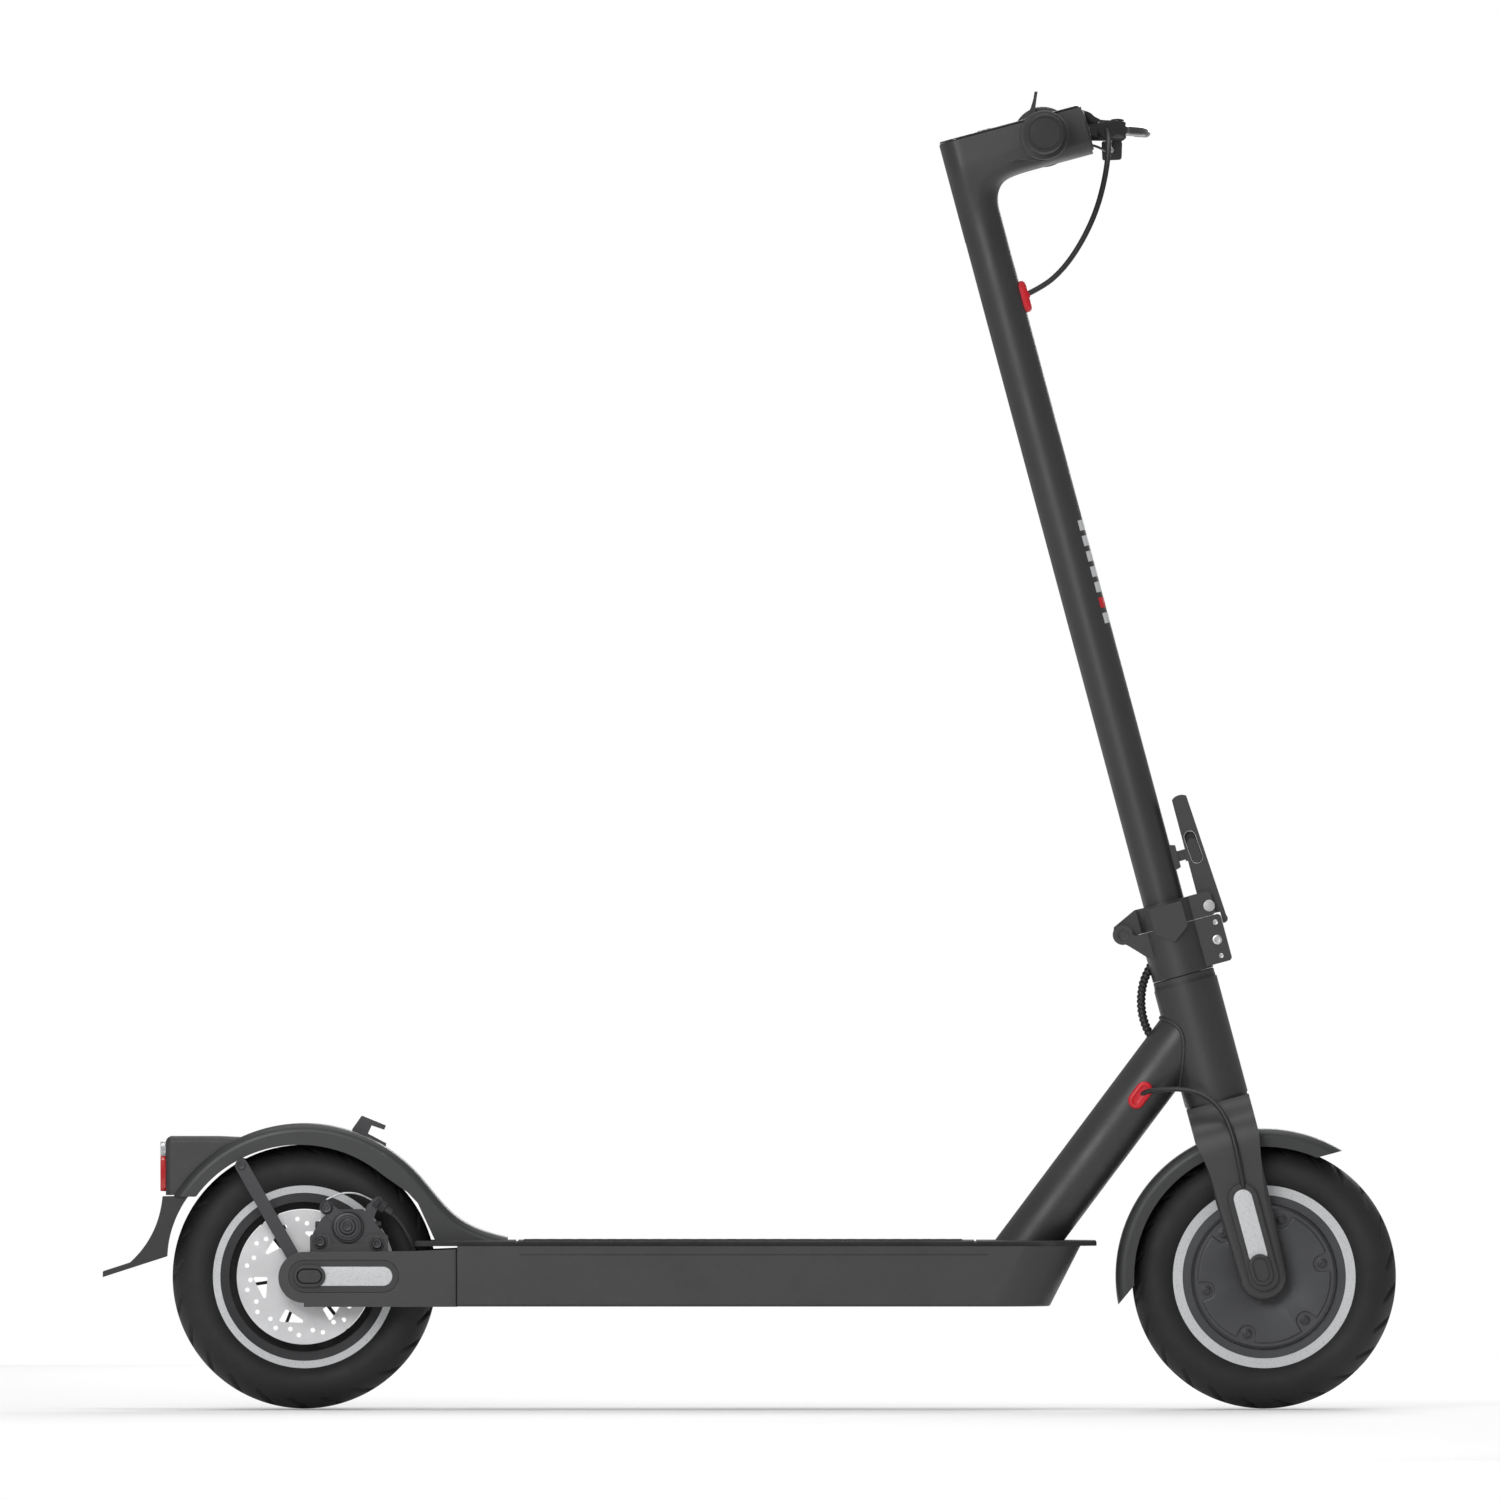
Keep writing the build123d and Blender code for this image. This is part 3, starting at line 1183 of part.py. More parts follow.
with BuildPart() as fold_collar:
    with BuildSketch(steer_level(collar_low_s)):
        Circle(stub_r)
    extrude(amount=collar_top_s - collar_low_s)
    with BuildSketch(steer_side()):
        with BuildLine():
            FilletPolyline((12.0, collar_low_s), (39.6, collar_low_s), (39.6, collar_top_s),
                           (12.0, collar_top_s), close=True, radius=3.5)
        make_face()
    extrude(amount=block_half, both=True)
    for sign in (-1, 1):                    # flat tongues that hang over the lower half's sides
        with BuildSketch(steer_side(sign * (stub_r + part_gap))):
            with BuildLine():
                FilletPolyline((-tongue_half, collar_top_s - 2), (-tongue_half, part_s - 3),
                               (0, tongue_low_s), (tongue_half, part_s - 3),
                               (tongue_half, collar_top_s - 2), close=True, radius=2.0)
            make_face()
        extrude(amount=-sign * (collar_half - stub_r - part_gap))
        with BuildSketch(steer_side(sign * (stub_r - 6.0))):
            with Locations((0, (collar_low_s + collar_top_s - 2) / 2)):
                Rectangle(2 * tongue_half, collar_top_s - 2 - collar_low_s)
        extrude(amount=-sign * 7.0)
    with BuildSketch(steer_side()):         # rear arm of the hinge
        with BuildLine():
            Polyline((-12.0, collar_low_s), (-27.0, collar_low_s), (hinge_n, hinge_s - 6), (-46.5, 310.5),
                     (-45.5, 313.5), (-25.2, 322.9), (-12.0, collar_top_s), close=True)
        make_face()
        with Locations((hinge_n, hinge_s)):
            Circle(knuckle_r)
    extrude(amount=slot_half - part_gap, both=True)
    with BuildSketch(steer_side()):
        with Locations((hinge_n, hinge_s)):
            Circle(hinge_fit_r)
    extrude(amount=slot_half, both=True, mode=Mode.SUBTRACT)
    with BuildSketch(steer_side()):         # slot for the lever
        with Locations((40.0, (collar_low_s + collar_top_s) / 2)):
            Rectangle(2 * (40.0 - 21.6), collar_top_s - collar_low_s + 2)
    extrude(amount=slot_half, both=True, mode=Mode.SUBTRACT)
    with BuildSketch(steer_level(collar_low_s - 1)):
        Circle(stem_r)
    extrude(amount=collar_top_s - collar_low_s + 2, mode=Mode.SUBTRACT)
    with BuildSketch(steer_side(block_half + 0.8)):     # lever pin, fixed in both cheeks
        with Locations((lever_n, lever_s)):
            Circle(lever_pin_r)
    extrude(amount=2 * block_half + 1.6)
    for sign in (-1, 1):
        with BuildSketch(steer_side(sign * block_half)):
            with Locations((lever_n, lever_s)):
                Circle(4.8)
        extrude(amount=-sign * 0.9)
fold_collar.part.label = "fold_collar"
export_step(fold_collar.part, "parts/fold_collar.step")

slide_travel = 6.0
with BuildPart() as fold_lever:
    with BuildSketch(steer_side()):
        with BuildLine():
            top = ThreePointArc((28.6, 403.3), (35.0, 405.9), (41.1, 404.0))
            Polyline(top @ 1, (47.6, 299.0))
            ThreePointArc((47.6, 299.0), (46.6, 294.0), (43.4, 293.6))
            Polyline((43.4, 293.6), (43.4, 303.0), (36.0, 303.6), (29.4, 307.5), (28.5, 322.8), top @ 0)
        make_face()
        with Locations((lever_n, lever_s)):
            Circle(lever_pin_r + run_gap, mode=Mode.SUBTRACT)
    extrude(amount=slot_half - part_gap, both=True)
    with BuildSketch(steer_side()):         # hollow back
        with BuildLine():
            FilletPolyline((20.0, 334.0), (41.2, 334.0), (37.6, 398.0), (20.0, 398.0), close=True, radius=2.0)
        make_face()
    extrude(amount=slot_half - part_gap - 2.2, both=True, mode=Mode.SUBTRACT)
    with BuildSketch(steer_side()):
        with Locations((35.8, 361.0)):
            SlotOverall(28.0, 10.0, rotation=94)
    extrude(amount=slot_half + 1, both=True, mode=Mode.SUBTRACT)
fold_lever.part.label = "fold_lever"
export_step(fold_lever.part, "parts/fold_lever.step")

with BuildPart() as lock_slider:
    with BuildSketch(steer_side()):
        with Locations((36.0, 358.0)):
            SlotOverall(21.4, 9.2, rotation=94)
    extrude(amount=slot_half + 0.6, both=True)
    fillet(edges().group_by(Axis.Y)[0] + edges().group_by(Axis.Y)[-1], 1.0)
lock_slider.part.label = "lock_slider"
export_step(lock_slider.part, "parts/lock_slider.step")

# ---- head of the stem
stem_head_half = 22.0
head_rear_n = -17.5
head_front_n = 104.7
stem_head_top_s = 981.0
stem_head_low_s = 940.5
display_t = 2.0
bar_n = 68.4
bar_s = 965.4
bar_r = 11.1
bar_at = steer(bar_n, bar_s)
lamp_r = 15.0

with BuildPart() as stem_head:
    with BuildSketch(steer_side()):
        with BuildLine():
            Polyline((head_rear_n, stem_top_s + 20), (head_rear_n, stem_head_top_s),
                     (head_front_n, stem_head_top_s), (head_front_n, stem_head_low_s),
                     (46.0, stem_head_low_s))
            Spline((46.0, stem_head_low_s), (27.0, 936.2), (-head_rear_n, stem_top_s + 6),
                   tangents=[Vector(-1, 0), Vector(0, -1)])
            Polyline((-head_rear_n, stem_top_s + 6), (0, stem_top_s + 6), (head_rear_n, stem_top_s + 20))
        make_face()
    extrude(amount=stem_head_half, both=True)
    fillet(edges().filter_by(lambda e: abs(abs(e.center().Y) - stem_head_half) < 0.01
                             and abs(e.length - (stem_head_top_s - stem_top_s - 20)) < 0.5), 16.0)
    with BuildSketch(steer_level(stem_top_s)):
        Circle(stem_r)
    extrude(amount=60.0)
    with BuildSketch(steer_level(stem_top_s - 15)):
        Circle(stem_r - stem_wall)
    extrude(amount=20.0)
    with BuildSketch(side(0, bar_at.X, bar_at.Z)):
        Circle(bar_r)
    extrude(amount=stem_head_half + 1, both=True, mode=Mode.SUBTRACT)
    with BuildSketch(Plane(origin=steer(head_front_n, 960.5), x_dir=(0, 1, 0), z_dir=-1 * fore_dir)):
        Circle(lamp_r)
    extrude(amount=6.0, mode=Mode.SUBTRACT)
    button_n = 22.0
    button_r = 6.0
    with BuildSketch(steer_level(stem_head_top_s - 5, button_n)):
        Circle(button_r + 0.4)
    extrude(amount=6.0, mode=Mode.SUBTRACT)
stem_head.part.label = "stem_head"
export_step(stem_head.part, "parts/stem_head.step")

with BuildPart() as display_cover:
    with BuildSketch(steer_level(stem_head_top_s, (head_rear_n + head_front_n) / 2)):
        RectangleRounded(head_front_n - head_rear_n - 2.0, 2 * stem_head_half - 2.0, 14.0)
        with Locations((button_n - (head_rear_n + head_front_n) / 2, 0)):
            Circle(button_r + 0.4, mode=Mode.SUBTRACT)
    extrude(amount=display_t)
    fillet(faces().sort_by(Axis.Z)[-1].outer_wire().edges(), 0.8)
display_cover.part.label = "display_cover"
export_step(display_cover.part, "parts/display_cover.step")

with BuildPart() as mode_button:
    with BuildSketch(steer_level(stem_head_top_s - 3.6, button_n)):
        Circle(button_r)
    extrude(amount=3.6 + display_t + 0.6)
    fillet(edges().filter_by(GeomType.CIRCLE).sort_by(Axis.Z)[-1:], 0.5)
mode_button.part.label = "mode_button"
export_step(mode_button.part, "parts/mode_button.step")

with BuildPart() as headlight_lens:
    with BuildSketch(Plane(origin=steer(head_front_n, 960.5), x_dir=(0, 1, 0), z_dir=-1 * fore_dir)):
        Circle(lamp_r)
    extrude(amount=6.0)
headlight_lens.part.label = "headlight_lens"
export_step(headlight_lens.part, "parts/headlight_lens.step")

stem_grommet_s = 840.5
with BuildPart() as stem_grommet:
    with BuildSketch(Plane(origin=steer(stem_r - 2, stem_grommet_s), x_dir=steer_dir, z_dir=fore_dir)):
        SlotOverall(27.0, 13.0)
    extrude(amount=6.2)
    with BuildSketch(steer_level(stem_grommet_s - 20)):
        Circle(stem_r)
    extrude(amount=40, mode=Mode.SUBTRACT)
stem_grommet.part.label = "stem_grommet"
export_step(stem_grommet.part, "parts/stem_grommet.step")

# ---- handlebar and its controls
grip_in = 95.0
grip_r = 16.4
with BuildPart() as handlebar:
    with BuildSketch(side(0, bar_at.X, bar_at.Z)):
        Circle(bar_r)
        Circle(bar_r - 2.0, mode=Mode.SUBTRACT)
    extrude(amount=bar_half - 4.0, both=True)
handlebar.part.label = "handlebar"
export_step(handlebar.part, "parts/handlebar.step")

with BuildPart() as grips:
    for sign in (-1, 1):
        with BuildSketch(side(sign * grip_in, bar_at.X, bar_at.Z)):
            Circle(grip_r)
        extrude(amount=-sign * (bar_half - grip_in))
    chamfer(edges().filter_by(GeomType.CIRCLE), 1.5)
    with BuildSketch(side(0, bar_at.X, bar_at.Z)):
        Circle(bar_r)
    extrude(amount=bar_half - 4.0, both=True, mode=Mode.SUBTRACT)
grips.part.label = "grips"
export_step(grips.part, "parts/grips.step")

throttle_r = 20.4
throttle_y = (-60.5, -88.0)
with BuildPart() as throttle_housing:
    with BuildSketch(side(throttle_y[0], bar_at.X, bar_at.Z)):
        Circle(throttle_r)
        Circle(bar_r, mode=Mode.SUBTRACT)
    extrude(amount=throttle_y[0] - throttle_y[1])
    fillet(edges().filter_by(GeomType.CIRCLE).filter_by(lambda e: e.radius > bar_r + 1), 1.5)
throttle_housing.part.label = "throttle_housing"
export_step(throttle_housing.part, "parts/throttle_housing.step")

paddle_y = (-48.0, -60.2)
with BuildPart() as throttle_paddle:
    with BuildSketch(side(paddle_y[0], bar_at.X, bar_at.Z)):
        Circle(throttle_r - 1.0)
        with BuildLine():
            Polyline((-15.0, -5.0), (-19.3, -9.3), (-33.2, -15.6), (-34.4, -18.4), (-30.5, -22.0),
                     (-22.0, -19.4), (-12.0, -20.6), (-1.1, -21.6), (0.0, -15.0), close=True)
        make_face()
        Circle(bar_r + run_gap, mode=Mode.SUBTRACT)
    extrude(amount=paddle_y[0] - paddle_y[1])
throttle_paddle.part.label = "throttle_paddle"
export_step(throttle_paddle.part, "parts/throttle_paddle.step")

perch_y = (64.0, 84.0)
pivot_tilt = 3.0                   # degrees the lever's pivot leans forward
pivot_r = 3.0
pivot_at = Vector(306.8, 74.0, 1066.5)
pivot_up = Vector(math.sin(math.radians(pivot_tilt)), 0, math.cos(math.radians(pivot_tilt)))
blade_t = 9.0
pivot_plane = Plane(origin=pivot_at, x_dir=(math.cos(math.radians(pivot_tilt)), 0,
                                            -math.sin(math.radians(pivot_tilt))), z_dir=pivot_up)
with BuildPart() as brake_perch:
    with BuildSketch(side(perch_y[1], bar_at.X, bar_at.Z)):
        Circle(19.0)
        Circle(bar_r, mode=Mode.SUBTRACT)
    extrude(amount=perch_y[1] - perch_y[0])
    with BuildSketch(side(perch_y[1])):
        with BuildLine():
            FilletPolyline((254.0, 1055.0), (284.3, 1057.6), (311.5, 1057.2), (314.4, 1061.0),
                           (314.2, 1071.0), (310.0, 1074.0), (297.0, 1074.2), (290.5, 1073.4),
                           (283.7, 1080.7), (276.0, 1083.0), (254.0, 1077.0), close=True, radius=1.4)
        make_face()
    extrude(amount=perch_y[1] - perch_y[0])
    with BuildSketch(side(0, bar_at.X, bar_at.Z)):
        Circle(bar_r)
    extrude(amount=100, both=True, mode=Mode.SUBTRACT)
    with BuildSketch(pivot_plane):          # gap for the lever
        with Locations((3.0, 6.8)):
            Rectangle(28.0, 32.4)
    extrude(amount=blade_t / 2 + part_gap, both=True, mode=Mode.SUBTRACT)
    with BuildSketch(pivot_plane):          # pivot pin
        Circle(pivot_r)
    extrude(amount=9.6, both=True)
    with BuildSketch(side(perch_y[1] - 3)):     # switch box under the perch
        with BuildLine():
            FilletPolyline((294.4, 1040.8), (310.4, 1041.6), (310.9, 1058.0), (293.6, 1058.0),
                           close=True, radius=1.8)
        make_face()
    extrude(amount=14.0)
brake_perch.part.label = "brake_perch"
export_step(brake_perch.part, "parts/brake_perch.step")

lever_reach = 122.0
with BuildPart() as brake_lever:
    with BuildSketch(pivot_plane.offset(-blade_t / 2)):
        with BuildLine():
            Spline((9.0, 0.0), (15.0, 14.0), (27.0, 34.0), (29.0, 70.0), (27.0, lever_reach - 8))
            ThreePointArc((27.0, lever_reach - 8), (20.0, lever_reach), (14.0, lever_reach - 8))
            Spline((14.0, lever_reach - 8), (17.0, 70.0), (13.0, 36.0), (-2.0, 14.0), (-6.5, 4.0))
            ThreePointArc((-6.5, 4.0), (-3.0, -7.4), (9.0, 0.0))
        make_face()
        Circle(pivot_r + run_gap, mode=Mode.SUBTRACT)
    extrude(amount=blade_t)
brake_lever.part.label = "brake_lever"
export_step(brake_lever.part, "parts/brake_lever.step")

bell_y = (34.0, 54.0)
bell_r = 25.2
with BuildPart() as bell_body:
    with BuildSketch(side(bell_y[1], bar_at.X, bar_at.Z)):
        Circle(bell_r)
        Circle(bar_r, mode=Mode.SUBTRACT)
    extrude(amount=bell_y[1] - bell_y[0] - 7)
    fillet(edges().filter_by(GeomType.CIRCLE).filter_by(lambda e: e.radius > bar_r + 1), 3.0)
bell_body.part.label = "bell_body"
export_step(bell_body.part, "parts/bell_body.step")

bell_ring_y = bell_y[1] - (bell_y[1] - bell_y[0] - 7) - part_gap
with BuildPart() as bell_lever:
    with BuildSketch(side(bell_ring_y, bar_at.X, bar_at.Z)):
        Circle(18.0)
        with BuildLine():
            Polyline((-16.5, 8.0), (-9.0, 27.0), (-6.9, 38.1), (-4.9, 37.4), (-6.0, 26.0), (-2.0, 16.0),
                     close=True)
        make_face()
        Circle(bar_r + run_gap, mode=Mode.SUBTRACT)
    extrude(amount=5.0)
bell_lever.part.label = "bell_lever"
export_step(bell_lever.part, "parts/bell_lever.step")
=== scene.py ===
import bpy
import bmesh
import json
import math
import random
from mathutils import Matrix, Vector


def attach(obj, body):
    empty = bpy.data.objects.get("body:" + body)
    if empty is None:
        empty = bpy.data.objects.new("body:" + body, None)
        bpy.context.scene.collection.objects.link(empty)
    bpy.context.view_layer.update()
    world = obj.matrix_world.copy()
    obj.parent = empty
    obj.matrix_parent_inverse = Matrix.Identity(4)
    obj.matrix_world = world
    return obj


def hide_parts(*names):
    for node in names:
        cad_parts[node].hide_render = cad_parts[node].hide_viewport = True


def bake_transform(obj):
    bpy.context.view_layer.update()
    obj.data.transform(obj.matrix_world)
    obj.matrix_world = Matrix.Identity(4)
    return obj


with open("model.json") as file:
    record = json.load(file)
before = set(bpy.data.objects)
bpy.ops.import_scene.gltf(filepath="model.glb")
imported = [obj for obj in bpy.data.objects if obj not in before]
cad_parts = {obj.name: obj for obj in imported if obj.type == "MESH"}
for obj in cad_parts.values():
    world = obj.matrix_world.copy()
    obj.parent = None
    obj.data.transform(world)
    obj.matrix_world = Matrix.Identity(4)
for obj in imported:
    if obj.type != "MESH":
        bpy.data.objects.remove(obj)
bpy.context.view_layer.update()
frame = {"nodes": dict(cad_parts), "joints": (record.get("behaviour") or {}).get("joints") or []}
print("frame loaded:", len(frame["nodes"]), "CAD nodes")

joints = {j["name"]: j for j in frame["joints"]}
frontAxle = Vector(joints["front_wheel_spin"]["pos_m"])
rearAxle = Vector(joints["rear_wheel_spin"]["pos_m"])
steerUp = Vector(joints["steering"]["axis"]).normalized()
leftward = Vector((0, 1, 0))
steerFore = leftward.cross(steerUp).normalized()


def onSteer(n, s, y=0.0):  # n forward of the steering axis, s up it, metres
    return frontAxle + steerFore * n + steerUp * s + leftward * y


# materials
def newMaterial(name, colour, roughness, metallic=0.0):
    mat = bpy.data.materials.new(name)
    mat.use_nodes = True
    mat.diffuse_color = (*colour, 1)
    shader = mat.node_tree.nodes["Principled BSDF"]
    shader.inputs["Base Color"].default_value = (*colour, 1)
    shader.inputs["Roughness"].default_value = roughness
    shader.inputs["Metallic"].default_value = metallic
    return mat, mat.node_tree, shader


def objectCoords(tree, scale=(1, 1, 1), origin=(0, 0, 0)):
    coords = tree.nodes.new("ShaderNodeTexCoord")
    mapping = tree.nodes.new("ShaderNodeMapping")
    mapping.vector_type = "POINT"
    mapping.inputs["Location"].default_value = [-o * s for o, s in zip(origin, scale)]
    mapping.inputs["Scale"].default_value = scale
    tree.links.new(coords.outputs["Object"], mapping.inputs["Vector"])
    return mapping.outputs["Vector"]


def noise(tree, vector, scale, detail=4.0, rough=0.55):
    tex = tree.nodes.new("ShaderNodeTexNoise")
    tex.inputs["Scale"].default_value = scale
    tex.inputs["Detail"].default_value = detail
    tex.inputs["Roughness"].default_value = rough
    tree.links.new(vector, tex.inputs["Vector"])
    return tex.outputs["Fac"]


def remap(tree, value, low, high, toLow, toHigh):
    node = tree.nodes.new("ShaderNodeMapRange")
    for key, number in (("From Min", low), ("From Max", high), ("To Min", toLow), ("To Max", toHigh)):
        node.inputs[key].default_value = number
    tree.links.new(value, node.inputs["Value"])
    return node.outputs["Result"]


def colourRamp(tree, value, stops):
    ramp = tree.nodes.new("ShaderNodeValToRGB")
    marks = ramp.color_ramp.elements
    while len(marks) < len(stops):
        marks.new(0.5)
    for mark, (place, colour) in zip(marks, stops):
        mark.position = place
        mark.color = (*colour, 1)
    tree.links.new(value, ramp.inputs["Fac"])
    return ramp.outputs["Color"]


def bump(tree, shader, height, strength, distance):
    node = tree.nodes.new("ShaderNodeBump")
    node.inputs["Strength"].default_value = strength
    node.inputs["Distance"].default_value = distance
    tree.links.new(height, node.inputs["Height"])
    tree.links.new(node.outputs["Normal"], shader.inputs["Normal"])
    return node


def tinted(colour, amount):
    return tuple(max(0.0, c * (1 + amount)) for c in colour)


def grainy(name, look):  # a body colour that drifts a little, over a fine surface grain
    mat, tree, shader = newMaterial(name, look["colour"], look["roughness"], look.get("metallic", 0.0))
    spot = objectCoords(tree)
    drift = noise(tree, spot, look.get("driftScale", 9.0), 5.0)
    shades = [(0.3, tinted(look["colour"], -look["drift"])), (0.7, tinted(look["colour"], look["drift"]))]
    tree.links.new(colourRamp(tree, drift, shades), shader.inputs["Base Color"])
    smear = noise(tree, spot, look.get("smearScale", 26.0), 6.0, 0.65)
    span = look.get("roughSpan", 0.08)
    tree.links.new(remap(tree, smear, 0.3, 0.7, look["roughness"] - span, look["roughness"] + span),
                   shader.inputs["Roughness"])
    grain = noise(tree, spot, look["grainScale"], 3.0, 0.6)
    bump(tree, shader, grain, look["grain"], look.get("grainDepth", 0.0004))
    shader.inputs["Coat Weight"].default_value = look.get("coat", 0.0)
    shader.inputs["Coat Roughness"].default_value = look.get("coatRoughness", 0.2)
    shader.inputs["Specular IOR Level"].default_value = look.get("specular", 0.5)
    return mat


def turned(name, look, origin):  # metal with fine rings about a wheel's axle
    mat, tree, shader = newMaterial(name, look["colour"], look["roughness"], look["metallic"])
    spot = objectCoords(tree, origin=origin)
    rings = tree.nodes.new("ShaderNodeTexWave")
    rings.wave_type = "RINGS"
    rings.rings_direction = "Y"
    rings.inputs["Scale"].default_value = look["ringScale"]
    rings.inputs["Distortion"].default_value = 1.5
    rings.inputs["Detail"].default_value = 3.0
    rings.inputs["Detail Scale"].default_value = 4.0
    tree.links.new(spot, rings.inputs["Vector"])
    tree.links.new(remap(tree, rings.outputs["Fac"], 0, 1, look["roughness"] - 0.07, look["roughness"] + 0.1),
                   shader.inputs["Roughness"])
    haze = noise(tree, spot, 30.0, 5.0)
    shades = [(0.3, tinted(look["colour"], -0.1)), (0.7, tinted(look["colour"], 0.06))]
    tree.links.new(colourRamp(tree, haze, shades), shader.inputs["Base Color"])
    bump(tree, shader, rings.outputs["Fac"], look["rings"], 0.0002)
    return mat


def brushedMetal(name, look):
    mat, tree, shader = newMaterial(name, look["colour"], look["roughness"], look["metallic"])
    spot = objectCoords(tree, scale=look.get("stretch", (1, 1, 12)))
    lines = noise(tree, spot, look["lineScale"], 4.0, 0.7)
    tree.links.new(remap(tree, lines, 0.3, 0.7, look["roughness"] - 0.08, look["roughness"] + 0.1),
                   shader.inputs["Roughness"])
    shades = [(0.3, tinted(look["colour"], -0.14)), (0.75, tinted(look["colour"], 0.06))]
    tree.links.new(colourRamp(tree, lines, shades), shader.inputs["Base Color"])
    bump(tree, shader, lines, look["lines"], 0.0002)
    return mat


def reflective(name, look):  # pale retroreflective film: tiny cells under a clear face
    mat, tree, shader = newMaterial(name, look["colour"], look["roughness"])
    spot = objectCoords(tree)
    cells = tree.nodes.new("ShaderNodeTexVoronoi")
    cells.inputs["Scale"].default_value = look["cellScale"]
    tree.links.new(spot, cells.inputs["Vector"])
    shades = [(0.0, tinted(look["colour"], 0.05)), (0.55, look["colour"]), (1.0, tinted(look["colour"], -0.22))]
    tree.links.new(colourRamp(tree, cells.outputs["Distance"], shades), shader.inputs["Base Color"])
    bump(tree, shader, cells.outputs["Distance"], look["cells"], 0.0003)
    shader.inputs["Coat Weight"].default_value = 0.35
    shader.inputs["Coat Roughness"].default_value = 0.3
    return mat


def lens(name, look):
    mat, tree, shader = newMaterial(name, look["colour"], look["roughness"])
    shader.inputs["Transmission Weight"].default_value = look["clear"]
    shader.inputs["IOR"].default_value = 1.49
    spot = objectCoords(tree)
    ribs = tree.nodes.new("ShaderNodeTexWave")
    ribs.bands_direction = "Y"
    ribs.inputs["Scale"].default_value = look["ribScale"]
    tree.links.new(spot, ribs.inputs["Vector"])
    tree.links.new(remap(tree, ribs.outputs["Fac"], 0, 1, look["roughness"], look["roughness"] + 0.05),
                   shader.inputs["Roughness"])
    bump(tree, shader, ribs.outputs["Fac"], look["ribs"], 0.0006)
    shader.inputs["Coat Weight"].default_value = 0.5
    return mat


powderCoat = {"colour": (0.031, 0.031, 0.033), "roughness": 0.42, "drift": 0.08, "grain": 0.22,
              "grainScale": 1500.0, "coat": 0.12, "coatRoughness": 0.35}
deckCoat = dict(powderCoat, roughness=0.5, grain=0.3, grainScale=1150.0)
mouldedPlastic = {"colour": (0.029, 0.029, 0.03), "roughness": 0.5, "drift": 0.06, "grain": 0.35,
                  "grainScale": 1000.0, "roughSpan": 0.06}
fenderPlastic = dict(mouldedPlastic, colour=(0.03, 0.031, 0.032), roughness=0.42, grain=0.2)
tyreCompound = {"colour": (0.017, 0.017, 0.0175), "roughness": 0.6, "drift": 0.2, "driftScale": 22.0,
                "grain": 0.5, "grainScale": 700.0, "specular": 0.35}
gripCompound = dict(tyreCompound, colour=(0.028, 0.028, 0.029), roughness=0.66, grain=0.4)
matCompound = dict(tyreCompound, colour=(0.03, 0.03, 0.031), roughness=0.8, grain=0.6)
cableJacket = {"colour": (0.017, 0.017, 0.018), "roughness": 0.42, "drift": 0.1, "grain": 0.12,
               "grainScale": 1400.0}
redCompound = {"colour": (0.62, 0.007, 0.018), "roughness": 0.4, "drift": 0.07, "driftScale": 60.0,
               "grain": 0.15, "grainScale": 900.0}
glossBlack = {"colour": (0.009, 0.009, 0.01), "roughness": 0.16, "drift": 0.05, "grain": 0.03,
              "grainScale": 400.0, "coat": 0.8, "coatRoughness": 0.06, "roughSpan": 0.04}
blackOxide = {"colour": (0.06, 0.06, 0.063), "roughness": 0.4, "metallic": 0.75, "drift": 0.12,
              "grain": 0.2, "grainScale": 900.0}
castBlack = dict(powderCoat, roughness=0.5, grain=0.45, grainScale=800.0)
batteryWrap = {"colour": (0.02, 0.07, 0.24), "roughness": 0.3, "drift": 0.06, "grain": 0.1,
               "grainScale": 300.0, "coat": 0.3}
anodised = {"colour": (0.075, 0.076, 0.08), "roughness": 0.36, "metallic": 0.65, "ringScale": 900.0,
            "rings": 0.12}
rimAnodised = dict(anodised, colour=(0.035, 0.035, 0.037), roughness=0.4)
discSteel = {"colour": (0.6, 0.6, 0.61), "roughness": 0.42, "metallic": 0.55, "ringScale": 1600.0,
             "rings": 0.05}
plainSteel = {"colour": (0.6, 0.6, 0.61), "roughness": 0.32, "metallic": 1.0, "lineScale": 260.0,
              "lines": 0.12}
paleFilm = {"colour": (0.6, 0.61, 0.62), "roughness": 0.5, "cellScale": 900.0, "cells": 0.25}
redLens = {"colour": (0.66, 0.012, 0.012), "roughness": 0.12, "clear": 0.35, "ribScale": 320.0, "ribs": 0.5}
clearLens = {"colour": (0.86, 0.88, 0.9), "roughness": 0.08, "clear": 0.8, "ribScale": 380.0, "ribs": 0.4}

finish = {
    "framePaint": grainy("framePaint", powderCoat),
    "deckPaint": grainy("deckPaint", deckCoat),
    "castPaint": grainy("castPaint", castBlack),
    "plastic": grainy("mouldedPlastic", mouldedPlastic),
    "fenderPlastic": grainy("fenderPlastic", fenderPlastic),
    "tyre": grainy("tyreCompound", tyreCompound),
    "grip": grainy("gripCompound", gripCompound),
    "mat": grainy("matCompound", matCompound),
    "cable": grainy("cableJacket", cableJacket),
    "red": grainy("redCompound", redCompound),
    "gloss": grainy("glossBlack", glossBlack),
    "blackOxide": grainy("blackOxide", blackOxide),
    "battery": grainy("batteryWrap", batteryWrap),
    "motor": turned("motorAnodised", anodised, frontAxle),
    "rim": turned("rimAnodised", rimAnodised, rearAxle),
    "disc": turned("discSteel", discSteel, rearAxle),
    "steel": brushedMetal("plainSteel", plainSteel),
    "film": reflective("paleFilm", paleFilm),
    "redLens": lens("redLens", redLens),
    "clearLens": lens("clearLens", clearLens),
}

